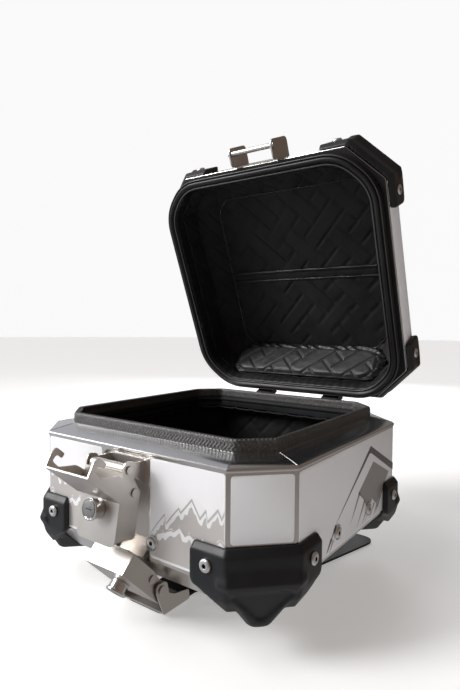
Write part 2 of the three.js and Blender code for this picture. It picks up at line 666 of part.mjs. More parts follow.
const upperAt = move(0, PIVOT_Y, PIVOT_Z);
const bracketBack = -CASE_HALF + POCKET_DEEP - GAP;
const bracketFront = bracketBack - METAL;
const bracketPlate = solidOf(facingFront(roundedShape([
  [-35, EDGE_Z - 96, 3], [35, EDGE_Z - 96, 3], [35, EDGE_Z - 8, 8], [-35, EDGE_Z - 8, 8],
]), bracketFront, bracketBack));
const earShape = roundedShape([
  [bracketFront + 0.5, PIVOT_Z - 22, 0], [bracketFront + 0.5, PIVOT_Z + 5, 0],
  [PIVOT_Y - 5.2, PIVOT_Z + 5.8, 5], [PIVOT_Y - 5.2, PIVOT_Z - 8, 5], [PIVOT_Y + 10, PIVOT_Z - 11, 4],
]);
const bracketHole = solidOf(barX(PIN_HOLE, -50, 50, PIVOT_Y, PIVOT_Z, 18));
add(topCase, 'latch_bracket', geometryOf(cut(
  join(bracketPlate, ...bothSides(earShape, EAR_IN, EAR_IN + METAL)), bracketHole,
)), FINISH.steel);

const latchFixed = groupAt(topCase, upperAt);
add(latchFixed, 'latch_pin', headedPin(COVER_HALF + GAP, 1.5, 4.8, EAR_IN - GAP, 6), FINISH.steel);

const upper = {
  face: 8, back: 21, top: 9.5, end: 81, faceTop: -3, shoulder: 8.5, hookPin: HOOK_PIN, lockAt: 45,
};
const latchCover = groupAt(topCase, upperAt, turnX(-COVER_REST));
add(latchCover, 'latch_cover', geometryOf(coverSolid(upper)), FINISH.steel);
add(latchCover, 'latch_lock_barrel', lockBarrel(upper.face, upper.lockAt, 12), FINISH.chrome);
add(latchCover, 'latch_lock_plug', geometryOf(lockPlug(upper.face, upper.lockAt, 12)), FINISH.chrome);

const hookPinAt = groupAt(latchCover, move(0, ...HOOK_PIN));
add(hookPinAt, 'latch_hook_pin', headedPin(LEVER_IN + METAL + GAP, 1.6, 5), FINISH.steel);
const latchHook = groupAt(hookPinAt, turnX(HOOK_REST + COVER_REST));
const barIn = STRIKER_RADIUS + 0.55; // half the claw's throat
const barAt = [hookReach * Math.cos(CLAW_TURN), hookReach * Math.sin(CLAW_TURN)];
const aroundBar = (u, v, radius) => [barAt[0] + u, barAt[1] + v, radius];
add(latchHook, 'latch_hook', geometryOf(leverSolid({
  x0: LEVER_IN,
  upward: 1,
  claw: true,
  web: [10.5, 17.3, 65, 21.2],
  outline: [
    [-9, -6, 8], [-9, 9, 8], [10.5, 17.3 + METAL, 3], [65, 21.2 + METAL, 2],
    aroundBar(11.5, -2, 6), aroundBar(10.5, -9.5, 6), aroundBar(-4, -10.5, 2.6),
    aroundBar(-4, -barIn, 2.2), aroundBar(barIn, -barIn, 3.6), aroundBar(barIn, barIn, 3.6),
    aroundBar(-7.5, barIn, 4), [33, -0.5, 8], [6, -6, 8],
  ],
})), FINISH.steel);

// Striker on the lid: a plate with two ears that hold the bar.
const EAR_AT = 36.3;
const EAR_THICK = 2;
const strikerFace = -CASE_HALF - GAP;
const strikerPlate = solidOf(facingFront(roundedShape([
  [-EAR_AT - EAR_THICK, LID_RIM_Z + 2, 2], [EAR_AT + EAR_THICK, LID_RIM_Z + 2, 2],
  [EAR_AT + EAR_THICK, LID_RIM_Z + 38, 3], [-EAR_AT - EAR_THICK, LID_RIM_Z + 38, 3],
]), strikerFace - METAL, strikerFace));
const strikerEar = roundedShape([
  [strikerFace - 0.5, LID_RIM_Z + 2, 0], [strikerFace - 3, LID_RIM_Z - 12, 8],
  [-CASE_HALF - 31, LID_RIM_Z - 12, 9], [-CASE_HALF - 31, LID_RIM_Z + 38, 9],
  [strikerFace - 0.5, LID_RIM_Z + 38, 0],
]);
const barHole = solidOf(barX(PIN_HOLE, -60, 60, STRIKER_Y, STRIKER_Z, 18));
add(lid, 'striker_plate', geometryOf(cut(
  join(strikerPlate, ...bothSides(strikerEar, EAR_AT, EAR_AT + EAR_THICK)), barHole,
)), FINISH.steel);
const strikerAt = groupAt(lid, move(0, STRIKER_Y, STRIKER_Z));
add(strikerAt, 'striker_bar',
  headedPin(EAR_AT + EAR_THICK + GAP, 1.5, 5, EAR_AT - GAP, STRIKER_RADIUS), FINISH.steel);

// Lower latch: the same idea turned to lie along the bottom bevel, pulling the case down
// onto the plate.
const LOWER_Y = -171.5;
const LOWER_Z = 34;
const r2 = Math.SQRT1_2;
const lowerAt = new THREE.Matrix4().makeBasis(
  new THREE.Vector3(-1, 0, 0), new THREE.Vector3(0, r2, r2), new THREE.Vector3(0, r2, -r2),
).setPosition(0, LOWER_Y, LOWER_Z);
const LOWER_HOOK_PIN = [3, -20];
const LOWER_BAR = 36; // from the hook's pivot to the catch bar
const LOWER_LEVER_IN = 21;
const lower = {
  face: 13, back: 11.5, top: 9.5, end: 68, faceTop: 10, shoulder: 8.5,
  hookPin: LOWER_HOOK_PIN, lockAt: 30, boxed: true,
};
const lowerFixed = groupAt(topCase, lowerAt);
add(lowerFixed, 'lower_pin', headedPin(LEVER_IN + METAL + GAP, 1.6, 5.5), FINISH.steel);
const BAR_AT = [LOWER_HOOK_PIN[0], LOWER_HOOK_PIN[1] - LOWER_BAR];
const CATCH_HALF = 20;
const BEVEL_AT = 14.1; // from the lower pivot to the bevel
const catchPost = roundedShape([
  [BEVEL_AT - 2, BAR_AT[1] - 7, 0], [BEVEL_AT - 2, BAR_AT[1] + 7, 0],
  [BAR_AT[0] - 5.5, BAR_AT[1] + 5.5, 5], [BAR_AT[0] - 5.5, BAR_AT[1] - 5.5, 5],
]);
const catchPlate = solidOf(box(
  -CATCH_HALF, CATCH_HALF, BEVEL_AT - GAP - METAL, BEVEL_AT - GAP, BAR_AT[1] - 9, BAR_AT[1] + 13,
));
const catchBar = solidOf(barX(PIN, -LOWER_LEVER_IN - 5, LOWER_LEVER_IN + 5, ...BAR_AT, 18));
add(lowerFixed, 'bottom_catch', geometryOf(join(
  catchPlate, catchBar, ...bothSides(catchPost, 14, 14 + 2.5),
)), FINISH.steel);

add(lowerFixed, 'lower_cover', geometryOf(coverSolid(lower)), FINISH.steel);
add(lowerFixed, 'lower_lock_barrel', lockBarrel(lower.face, lower.lockAt, 9), FINISH.chrome);
add(lowerFixed, 'lower_lock_plug', geometryOf(lockPlug(lower.face, lower.lockAt, 9)), FINISH.chrome);
const lowerHookAt = groupAt(lowerFixed, move(0, ...LOWER_HOOK_PIN));
add(lowerHookAt, 'lower_hook_pin', headedPin(COVER_HALF + GAP, 1.4, 4.8), FINISH.steel);
add(lowerHookAt, 'lower_hook', geometryOf(leverSolid({
  reach: LOWER_BAR,
  x0: LOWER_LEVER_IN,
  barRadius: PIN,
  upward: -1,
  web: [24, 9.5, 40, 9.5],
  outline: [
    [-7, -6, 6], [-7, 7, 6], [10, 9, 6], [24, 9.5 + METAL, 2], [40, 9.5 + METAL, 2],
    [LOWER_BAR + 9, 5, 4], [LOWER_BAR + 9, -6, 4], [LOWER_BAR + 4, -6, 1], [0, -6, 0],
  ],
})), FINISH.steel);

// ---------------------------------------------------------------- quick-release plate
const bracketLow = PLATE_THICK + GAP;
const lowerEar = roundedShape([
  [-168, bracketLow, 2], [LOWER_Y - 8.5, LOWER_Z - 2, 3], [LOWER_Y - 8.5, LOWER_Z + 8.5, 8],
  [LOWER_Y + 8.5, LOWER_Z + 8.5, 8], [LOWER_Y + 12, LOWER_Z - 8, 5], [-150, 21, 6], [-124, 16, 4],
  [-122, bracketLow, 6],
]);
const lowerHole = solidOf(barX(PIN_HOLE, -60, 60, LOWER_Y, LOWER_Z, 18));
add(topCase, 'lower_bracket', geometryOf(cut(join(
  solidOf(box(-LEVER_IN - 1, LEVER_IN + 1, -168, -122, bracketLow, bracketLow + METAL)),
  ...bothSides(lowerEar, LEVER_IN, LEVER_IN + METAL),
), lowerHole)), FINISH.steel);

const PLATE_REAR = 190;
const PLATE_REAR_HALF = 159;
const PLATE_SHOULDER = [-92, 84]; // where the plate narrows to its tongue, in Y and half of X
const TONGUE = [-165, 28]; // front end and half the width of the tongue under the latch
const SLOT_WIDE = 9;
const SLOT_LONG = 34;
const SLOT_X = 88;
const SLOT_Y = [40, 125];
const plateCorners = [
  [TONGUE[1], TONGUE[0], 6], [TONGUE[1], PLATE_SHOULDER[0] - 4, 10],
  [PLATE_SHOULDER[1], PLATE_SHOULDER[0], 18], [PLATE_REAR_HALF, PLATE_REAR, 22],
];
const plateSolid = solidOf(plateZ(roundedShape([
  ...plateCorners, ...plateCorners.map(([x, y, radius]) => [-x, y, radius]).reverse(),
]), 0, PLATE_THICK, 8));
const slotTools = SIDES.flatMap(([, side]) => SLOT_Y.map((y) => {
  const [w, h] = [SLOT_LONG / 2, SLOT_WIDE / 2];
  const x = side * SLOT_X;
  return solidOf(plateZ(roundedShape([
    [x - w, y - h, h], [x + w, y - h, h], [x + w, y + h, h], [x - w, y + h, h],
  ]), -1, PLATE_THICK + 1, 5));
}));
add(topCase, 'mount_plate', geometryOf(cut(plateSolid, ...slotTools)), FINISH.greyPlate);

const RAIL = { x0: 44, x1: 66, y0: -60, y1: 140 };
SIDES.forEach(([name, side]) => {
  const [a, b] = [side * RAIL.x0, side * RAIL.x1].sort((p, q) => p - q);
  add(topCase, `support_rail_${name}`, plateZ(roundedShape([
    [a, RAIL.y0, 8], [b, RAIL.y0, 8], [b, RAIL.y1, 8], [a, RAIL.y1, 8],
  ]), PLATE_THICK + GAP, BASE_BOTTOM_Z - GAP, 4), FINISH.rubber);
});

export default topCase;
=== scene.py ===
import json
import math
import random

import bmesh
import bpy
from mathutils import Matrix, Vector, noise


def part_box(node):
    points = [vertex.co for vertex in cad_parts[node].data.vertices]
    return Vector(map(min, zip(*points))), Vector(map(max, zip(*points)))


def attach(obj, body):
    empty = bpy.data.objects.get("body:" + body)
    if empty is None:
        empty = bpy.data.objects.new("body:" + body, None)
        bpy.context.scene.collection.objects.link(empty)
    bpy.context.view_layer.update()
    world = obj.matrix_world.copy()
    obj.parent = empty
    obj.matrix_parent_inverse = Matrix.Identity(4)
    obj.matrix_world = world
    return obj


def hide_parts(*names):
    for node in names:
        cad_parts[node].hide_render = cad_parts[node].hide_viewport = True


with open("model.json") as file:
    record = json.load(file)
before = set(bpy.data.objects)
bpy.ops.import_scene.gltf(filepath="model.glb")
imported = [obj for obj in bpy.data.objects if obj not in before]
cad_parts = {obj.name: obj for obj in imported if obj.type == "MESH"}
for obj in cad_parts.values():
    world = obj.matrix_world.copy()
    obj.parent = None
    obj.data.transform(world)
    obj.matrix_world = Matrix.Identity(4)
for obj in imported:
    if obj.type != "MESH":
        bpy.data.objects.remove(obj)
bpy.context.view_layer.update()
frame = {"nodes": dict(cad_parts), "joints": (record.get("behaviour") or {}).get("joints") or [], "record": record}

# ------------------------------------------------------------------ driving dimensions
MM = 0.001
shell_low, shell_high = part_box("base_shell")
HALF = shell_high.x / MM  # half the width and half the depth
EDGE_Z = shell_high.z / MM  # the base's top edge
CUT = 51  # leg of the cut-off corners
FOLD_Z = EDGE_Z - 118  # fold of the base's bottom bevel
BEVEL_HIGH = 42
LID_RIM = EDGE_Z + 27.5
LID_FOLD = LID_RIM + 44
LID_OPEN = math.radians(67.66)
PROTECTOR_RISE = 41.5

hinge = Vector(next(j for j in frame["joints"] if j["name"] == "lid_hinge")["pos_m"])
LID_SWING = (Matrix.Translation(hinge) @ Matrix.Rotation(-LID_OPEN, 4, "X")
             @ Matrix.Translation(-hinge))
UNSWING = LID_SWING.inverted()
BODY_OF = {
    node: body
    for body, nodes in frame["record"]["behaviour"]["bodies"].items() for node in nodes
}
SLOT_OF = {row["node"]: row["material_slot"] for row in frame["record"]["subparts"]}
CORNERS = (("front_left", -1, -1), ("front_right", 1, -1),
           ("rear_left", -1, 1), ("rear_right", 1, 1))


# ------------------------------------------------------------------ materials
class Shader:
    """A Principled material and short calls for the nodes in front of it."""

    def __init__(self, name, colour, roughness, metallic=0.0, **sockets):
        self.material = bpy.data.materials.new(name)
        self.material.use_nodes = True
        self.tree = self.material.node_tree
        self.bsdf = self.tree.nodes["Principled BSDF"]
        self.colour = (*colour, 1)
        self.set("Base Color", self.colour)
        self.set("Roughness", roughness)
        self.set("Metallic", metallic)
        for socket, value in sockets.items():
            self.set(socket.replace("_", " "), value)

    def set(self, socket, value):
        self.bsdf.inputs[socket].default_value = value

    def node(self, kind, **values):
        made = self.tree.nodes.new(kind)
        for key, value in values.items():
            if key in made.inputs:
                made.inputs[key].default_value = value
            else:
                setattr(made, key, value)
        return made

    def link(self, source, target):
        self.tree.links.new(source, target)

    def place(self, scale=(1, 1, 1), turn=(0, 0, 0)):
        """Object coordinates in metres, scaled and turned."""
        coordinates = self.node("ShaderNodeTexCoord").outputs["Object"]
        mapping = self.node("ShaderNodeMapping")
        mapping.inputs["Scale"].default_value = scale
        mapping.inputs["Rotation"].default_value = turn
        self.link(coordinates, mapping.inputs["Vector"])
        return mapping.outputs["Vector"]

    def noise(self, scale, detail=2.0, vector=None):
        made = self.node("ShaderNodeTexNoise", Scale=scale, Detail=detail)
        self.link(vector or self.place(), made.inputs["Vector"])
        return made.outputs["Fac"]

    def remap(self, value, low, high):
        made = self.node("ShaderNodeMapRange")
        for key, number in (("From Min", 0.3), ("From Max", 0.7), ("To Min", low), ("To Max", high)):
            made.inputs[key].default_value = number
        self.link(value, made.inputs["Value"])
        return made.outputs["Result"]

    def roughen(self, value, low, high):
        self.link(self.remap(value, low, high), self.bsdf.inputs["Roughness"])

    def tint(self, value, dark, light):
        """Mixes two colours by a 0 to 1 value."""
        made = self.node("ShaderNodeMix", data_type="RGBA")
        self.link(self.remap(value, 0.0, 1.0), made.inputs["Factor"])
        made.inputs["A"].default_value = (*dark, 1)
        made.inputs["B"].default_value = (*light, 1)
        self.link(made.outputs["Result"], self.bsdf.inputs["Base Color"])

    def bump(self, value, strength, distance):
        made = self.node("ShaderNodeBump", Strength=strength, Distance=distance)
        self.link(value, made.inputs["Height"])
        self.link(made.outputs["Normal"], self.bsdf.inputs["Normal"])

    def maths(self, operation, first, second=None):
        made = self.node("ShaderNodeMath", operation=operation)
        for socket, value in zip(made.inputs, (first, second)):
            if isinstance(value, (int, float)):
                socket.default_value = value
            elif value is not None:
                self.link(value, socket)
        return made.outputs["Value"]


def metal(name, colour, roughness, grain, depth=0.12, spread=0.08):
    """Brushed or satin metal: grain is the scale of the brushing along X, Y and Z."""
    shader = Shader(name, colour, roughness, 1.0)
    brushed = shader.noise(1.0, 3, shader.place(grain))
    smudge = shader.noise(18, 4)
    mixed = shader.maths("ADD", shader.maths("MULTIPLY", brushed, 0.6),
                         shader.maths("MULTIPLY", smudge, 0.4))
    shader.roughen(mixed, roughness - spread, roughness + spread)
    shader.tint(smudge, [c * 0.93 for c in colour], colour)
    shader.bump(brushed, depth, 0.0002)
    return shader.material


def moulded(name, colour, roughness, grain, depth, **sockets):
    """Moulded plastic or rubber with a fine grained skin."""
    shader = Shader(name, colour, roughness, **sockets)
    fine = shader.noise(grain, 2)
    broad = shader.noise(22, 3)
    shader.roughen(broad, roughness - 0.06, roughness + 0.08)
    shader.tint(broad, [c * 0.8 for c in colour], [c * 1.2 for c in colour])
    shader.bump(fine, depth, 0.0003)
    return shader.material


def woven(name, colour, roughness, pitch, **sockets):
    """Close-woven nylon: two crossed sets of threads and a soft blotch."""
    shader = Shader(name, colour, roughness, **sockets)
    threads = []
    for turn in (math.radians(45), math.radians(-45)):
        wave = shader.node("ShaderNodeTexWave", Scale=pitch, Distortion=0.6)
        shader.link(shader.place((1, 1, 1), (turn, turn, turn)), wave.inputs["Vector"])
        threads.append(wave.outputs["Fac"])
    weave_height = shader.maths("MAXIMUM", *threads)
    blotch = shader.noise(30, 4)
    shader.tint(blotch, [c * 0.7 for c in colour], [c * 1.35 for c in colour])
    shader.roughen(blotch, roughness - 0.08, roughness + 0.1)
    shader.bump(weave_height, 0.25, 0.0003)
    return shader.material


def braided():
    """Braided webbing: dull black yarn with bright filaments that catch the light."""
    shader = Shader("braid", (0.02, 0.02, 0.02), 0.35, Specular_IOR_Level=0.7)
    filaments = shader.noise(1.0, 3, shader.place((900, 900, 2600)))
    lumps = shader.noise(330, 2)
    mixed = shader.maths("ADD", shader.maths("MULTIPLY", filaments, 0.55),
                         shader.maths("MULTIPLY", lumps, 0.45))
    shader.tint(mixed, (0.003, 0.003, 0.003), (0.11, 0.107, 0.105))
    shader.bump(filaments, 0.6, 0.0005)
    return shader.material


MATERIAL = {
    "body_aluminium": metal("satin_aluminium", (0.80, 0.77, 0.74), 0.24, (30, 30, 300), 0.008, 0.02),
    "rim_aluminium": metal("rim_aluminium", (0.80, 0.80, 0.81), 0.2, (300, 300, 40), 0.02, 0.04),
    "moulded_black": moulded("satin_black_moulding", (0.0095, 0.0105, 0.012), 0.38, 1400, 0.2,
                             Specular_IOR_Level=0.4),
    "rubber_black": moulded("black_rubber", (0.007, 0.007, 0.0075), 0.42, 900, 0.15,
                            Specular_IOR_Level=0.4),
    "quilted_lining": woven("quilted_nylon", (0.010, 0.010, 0.0105), 0.62, 700, Sheen_Weight=0.05,
                             Specular_IOR_Level=0.22),
    "bolt_steel": metal("bolt_steel", (0.90, 0.89, 0.88), 0.36, (500, 500, 500), 0.02, 0.04),
    "latch_steel": metal("satin_stainless", (0.70, 0.665, 0.63), 0.4, (60, 700, 700), 0.02, 0.04),
    "lock_chrome": metal("lock_chrome", (0.82, 0.82, 0.82), 0.1, (600, 600, 600), 0.03, 0.04),
    "hinge_black": moulded("black_powder_coat", (0.015, 0.015, 0.016), 0.4, 700, 0.5),
    "hinge_steel": metal("ground_steel", (0.6, 0.6, 0.6), 0.3, (900, 60, 60)),
    "plate_grey": moulded("grey_powder_coat", (0.014, 0.014, 0.015), 0.55, 800, 0.3,
                          Specular_IOR_Level=0.12),
}
BRAID = braided()
PIPING = moulded("gloss_piping", (0.012, 0.012, 0.0125), 0.27, 500, 0.12)
# lighter grey rubber for the seal's outer and inner lips: a painted highlight along the glossy lip edges
HIGHLIT_RUBBER_LIP = moulded("painted_highlight_rubber_lip", (0.045, 0.045, 0.045), 0.35, 600, 0.15)
LOCK_FACE = metal("lock_face", (0.42, 0.41, 0.40), 0.3, (300, 300, 300), 0.04, 0.05)
POLISHED = metal("polished_edge", (0.82, 0.81, 0.80), 0.22, (300, 300, 300), 0.01, 0.03)
# near-black used as painted shade in the bolt and rivet sockets and in the lock key slots
PAINTED_SHADE = moulded("painted_shade_black", (0.006, 0.006, 0.006), 0.5, 900, 0.1)
SPRING = metal("spring_steel", (0.6, 0.58, 0.55), 0.2, (900, 900, 900), 0.05)


def vinyl(name, colour):
    """Satin vinyl sheet with the faintest orange peel."""
    shader = Shader(name, colour, 0.34, Coat_Weight=0.25, Coat_Roughness=0.12)
    broad = shader.noise(14, 2)
    shader.tint(broad, [c * 0.97 for c in colour], colour)
    shader.bump(shader.noise(600, 2), 0.05, 0.0002)
    shader.roughen(broad, 0.3, 0.4)
    return shader.material


GATHERED = moulded("gathered_satin", (0.009, 0.009, 0.0095), 0.42, 500, 0.12)
PAD_CLOTH = woven("pad_nylon", (0.014, 0.014, 0.0145), 0.46, 700, Sheen_Weight=0.12)
VINYL = vinyl("pale_vinyl", (0.74, 0.74, 0.765))
PRINT = vinyl("taupe_print", (0.42, 0.40, 0.39))
PRINT_MID = vinyl("grey_taupe_print", (0.25, 0.235, 0.225))
PRINT_DARK = vinyl("dark_taupe_print", (0.085, 0.075, 0.07))


# ------------------------------------------------------------------ making pieces
def piece(name, verts, faces, body, slot, material, smooth=35, swing=False):
    """A new mesh piece that rides on a body. swing places what was drawn on the closed lid."""
    mesh = bpy.data.meshes.new(name)
    mesh.from_pydata([Vector(v) * MM for v in verts], [], faces)
    work = bmesh.new()
    work.from_mesh(mesh)
    bmesh.ops.remove_doubles(work, verts=work.verts, dist=1e-6)
    bmesh.ops.recalc_face_normals(work, faces=work.faces)
    work.to_mesh(mesh)
    work.free()
    if swing:
        mesh.transform(LID_SWING)
    return dressed(name, mesh, body, material, smooth)


def dressed(name, mesh, body, material, smooth=35):
    mesh.materials.clear()
    mesh.materials.append(material)
    mesh.shade_smooth()
    if smooth < 180:
        mesh.set_sharp_from_angle(angle=math.radians(smooth))
    made = bpy.data.objects.new(name, mesh)
    bpy.context.scene.collection.objects.link(made)
    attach(made, body)
    return made


def thicken(made, depth, offset=0):
    """Gives a skin a thickness in millimetres; offset says on which side."""
    solid = made.modifiers.new("thickness", "SOLIDIFY")
    solid.thickness = depth * MM
    solid.offset = offset


def refined(node, width):
    """The CAD node's own shape with its flat facets merged and its edges rounded by width."""
    work = bmesh.new()
    work.from_mesh(frame["nodes"][node].data)
    bmesh.ops.remove_doubles(work, verts=work.verts, dist=5e-6)
    bmesh.ops.dissolve_limit(
        work, angle_limit=math.radians(1.5), verts=work.verts, edges=work.edges,
    )
    mesh = bpy.data.meshes.new(node + "_fine")
    work.to_mesh(mesh)
    work.free()
    made = dressed(node + "_fine", mesh, BODY_OF[node], MATERIAL[SLOT_OF[node]], 40)
    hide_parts(node)
    bevel = made.modifiers.new("edges", "BEVEL")
    bevel.width = width * MM
    bevel.segments = 2
    bevel.limit_method = "ANGLE"
    bevel.angle_limit = math.radians(30)
    bevel.use_clamp_overlap = True
    bevel.harden_normals = False
    weighted = made.modifiers.new("normals", "WEIGHTED_NORMAL")
    weighted.keep_sharp = True


def rounded(points, closed=True, steps=5):
    """Corner points (x, y, radius) turned into a line with round corners."""
    line = []
    count = len(points)
    for i, (x, y, radius) in enumerate(points):
        corner = Vector((x, y))
        if radius == 0 or (not closed and i in (0, count - 1)):
            line.append(corner)
            continue
        before = Vector(points[i - 1][:2]) - corner
        after = Vector(points[(i + 1) % count][:2]) - corner
        half = before.angle(after) / 2
        reach = min(radius / math.tan(half), before.length * 0.49, after.length * 0.49)
        start = corner + before.normalized() * reach
        end = corner + after.normalized() * reach
        for k in range(steps + 1):
            t = k / steps
            line.append(start * (1 - t) ** 2 + corner * 2 * t * (1 - t) + end * t * t)
    return line


def case_outline(inset, radius=4, steps=4):
    """The eight-sided outline moved in by inset, its corners rounded in steps."""
    half = HALF - inset
    leg = CUT - (2 - math.sqrt(2)) * inset
    run = half - leg
    corners = [(half, -run), (half, run), (run, half), (-run, half),
               (-half, run), (-half, -run), (-run, -half), (run, -half)]
    return rounded([(x, y, radius) for x, y in corners], steps=steps)


def resampled(line, count):
    """A closed line as count points at even spacing."""
    lengths = [(b - a).length for a, b in zip(line, line[1:] + line[:1])]
    total = sum(lengths)
    result = []
    index, passed = 0, 0.0
    for k in range(count):
        target = total * k / count
        while passed + lengths[index] < target:
            passed += lengths[index]
            index += 1
        t = (target - passed) / max(lengths[index], 1e-9)
        result.append(line[index].lerp(line[(index + 1) % len(line)], t))
    return result


def bridged(count, rings, closed=False):
    """Faces that join each ring of count points to the next, and if closed the last to the first."""
    faces = []
    for r in range(rings if closed else rings - 1):
        a, b = r * count, ((r + 1) % rings) * count
        faces += [(a + k, a + (k + 1) % count, b + (k + 1) % count, b + k) for k in range(count)]
    return faces


def ends(count, rings):
    """Faces that fill the first ring and the last."""
    return [tuple(range(count))[::-1], tuple(range((rings - 1) * count, rings * count))]


def hoop(rows, outline_of):
    """Rings of (inset, z) joined into a skin whose last ring meets the first."""
    rings = [[(p.x, p.y, z) for p in outline_of(inset)] for inset, z in rows]
    verts = [v for ring in rings for v in ring]
    return verts, bridged(len(rings[0]), len(rings), closed=True)


def shrunk(line, amount):
    """A closed counter-clockwise line moved in by amount."""
    result = []
    for i, point in enumerate(line):
        before = (point - line[i - 1]).normalized()
        after = (line[(i + 1) % len(line)] - point).normalized()
        along = (before + after)
        along = along.normalized() if along.length > 1e-6 else after
        result.append(point + Vector((-along.y, along.x)) * amount)
    return result


def plane(origin, across, up):
    """Drawing plane: x goes across, y goes up and z comes out."""
    across, up = Vector(across).normalized(), Vector(up).normalized()
    matrix = Matrix((across, up, across.cross(up))).transposed().to_4x4()
    matrix.translation = Vector(origin)
    return matrix


def slab(outline, place, z0, z1, edge=0.0):
    """A flat plate on a plane with its outer face's edge rounded by edge."""
    area = sum(a.cross(b) for a, b in zip(outline, outline[1:] + outline[:1]))
    line = outline if area > 0 else outline[::-1]
    rings = [(line, z0)]
    if edge:
        rings += [(line, z1 - edge), (shrunk(line, edge * 0.3), z1 - edge * 0.3)]
    rings.append((shrunk(line, edge), z1))
    verts = [place @ Vector((p.x, p.y, z)) for ring, z in rings for p in ring]
    bottom, top = ends(len(line), len(rings))
    return verts, [bottom, *bridged(len(line), len(rings)), top]


def gathered(parts):
    """Several (verts, faces) as one."""
    verts, faces = [], []
    for part_verts, part_faces in parts:
        start = len(verts)
        verts += list(part_verts)
        faces += [tuple(start + i for i in face) for face in part_faces]
    return verts, faces


def turned(rows, place, sides):
    """A turned shape from (radius, height, six) rows; a row with six set is a hexagon."""
    verts = []
    for radius, height, six in rows:
        for k in range(sides):
            angle = 2 * math.pi * k / sides
            reach = radius
            if six:
                reach /= math.cos((angle + math.pi / 6) % (math.pi / 3) - math.pi / 6)
            verts.append(place @ Vector((reach * math.cos(angle), reach * math.sin(angle), height)))
    return verts, bridged(sides, len(rows)) + ends(sides, len(rows))


def tube(points, radius, closed=False, sides=10):
    """A round cord of skin along a path of 3-D points."""
    verts = []
    count = len(points)
    side = None
    for i, point in enumerate(points):
        ahead = points[(i + 1) % count] if closed or i < count - 1 else point
        behind = points[i - 1] if closed or i > 0 else point
        along = (ahead - behind).normalized()
        if side is None:
            side = along.orthogonal().normalized()
        side = (side - along * side.dot(along)).normalized()
        other = along.cross(side)
        for k in range(sides):
            angle = 2 * math.pi * k / sides
            verts.append(point + side * radius * math.cos(angle)
                         + other * radius * math.sin(angle))
    faces = bridged(sides, count, closed)
    if not closed:
        faces += ends(sides, count)
    return verts, faces


# ------------------------------------------------------------------ quilting
QUILT = 28.0  # width of one quilted block
SEAM = 5.5  # how far a block takes to rise from its seam


def quilt(p, q):
    """0 at a seam to 1 on a block: 3 to 1 blocks woven with squares, turned by 45 degrees."""
    a = (p + q) / (QUILT * math.sqrt(2))
    b = (q - p) / (QUILT * math.sqrt(2))
    i, j = math.floor(a), math.floor(b)
    ci, cj = i % 4, j % 4
    wide, tall = 1, 1
    if cj == 0 and ci != 3:
        i, wide = i - ci, 3
    elif cj == 2 and ci != 1:
        i, wide = i - (ci - 2) % 4, 3
    elif ci == 3 and cj != 2:
        j, tall = j - (cj - 3) % 4, 3
    elif ci == 1 and cj != 0:
        j, tall = j - (cj - 1), 3
    edge = min(a - i, i + wide - a, b - j, j + tall - b) * QUILT
    rise = math.sin(min(edge / SEAM, 1) * math.pi / 2)
    return rise ** 0.75


def soft_noise(point, size):
    return noise.noise(Vector(point) / size)


# ------------------------------------------------------------------ places
UP = Vector((0, 0, 1))
FRONT = plane((0, -HALF, 0), (1, 0, 0), UP)
RIGHT = plane((HALF, 0, 0), (0, 1, 0), UP)
REAR = plane((0, HALF, 0), (-1, 0, 0), UP)
LEFT = plane((-HALF, 0, 0), (0, -1, 0), UP)
WALLS = (("front", FRONT), ("right", RIGHT), ("rear", REAR), ("left", LEFT))


def corner_plane(side_x, side_y):
    """On a cut corner, x across it, y up and z out."""
    outward = Vector((side_x, side_y, 0)).normalized()
    middle = HALF - CUT / 2
    return plane((side_x * middle, side_y * middle, 0), UP.cross(outward), UP)


def closed_box(node):
    """A CAD node's box in millimetres; a lid node's is taken with the lid closed."""
    turn = UNSWING if BODY_OF[node] == "lid" else Matrix.Identity(4)
    points = [turn @ v.co / MM for v in frame["nodes"][node].data.vertices]
    low = Vector(min(p[i] for p in points) for i in range(3))
    high = Vector(max(p[i] for p in points) for i in range(3))
    return low, high


# ------------------------------------------------------------------ sheet metal and castings
def carried_over():
    """The CAD's own metal parts, with the edges that pressed and cast metal has."""
    for node, width in (
        ("base_shell", 0.6), ("lid_shell", 0.6), ("lid_frame", 0.7),
        ("latch_bracket", 0.45), ("latch_cover", 0.5), ("latch_hook", 0.5),
        ("striker_plate", 0.5), ("striker_bar", 0.4), ("bottom_catch", 0.5),
        ("lower_cover", 0.5), ("lower_hook", 0.5), ("lower_bracket", 0.6),
        ("latch_pin", 0.4), ("latch_hook_pin", 0.4), ("lower_pin", 0.4), ("lower_hook_pin", 0.4),
        ("latch_lock_barrel", 0.4), ("latch_lock_plug", 0.25),
        ("lower_lock_barrel", 0.4), ("lower_lock_plug", 0.25),
        ("mount_plate", 0.8), ("support_rail_left", 1.0), ("support_rail_right", 1.0),
        ("hinge_base_leaf_left", 0.5), ("hinge_base_leaf_right", 0.5),
        ("hinge_lid_leaf_left", 0.5), ("hinge_lid_leaf_right", 0.5),
        ("hinge_pin_left", 0.3), ("hinge_pin_right", 0.3),
    ):
        refined(node, width)


def protectors():
    """Moulded corner bumpers: the CAD solid with every edge melted round."""
    for part in ("base", "lid"):
        for corner, _, _ in CORNERS:
            node = f"{part}_protector_{corner}"
            mesh = frame["nodes"][node].data.copy()
            made = dressed(node + "_moulded", mesh, BODY_OF[node],
                           MATERIAL["moulded_black"], 180)
            remesh = made.modifiers.new("skin", "REMESH")
            remesh.mode = "VOXEL"
            remesh.voxel_size = 1.7 * MM
            remesh.use_smooth_shade = True
            relax = made.modifiers.new("relax", "SMOOTH")
            relax.factor = 0.6
            relax.iterations = 6
            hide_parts(node)


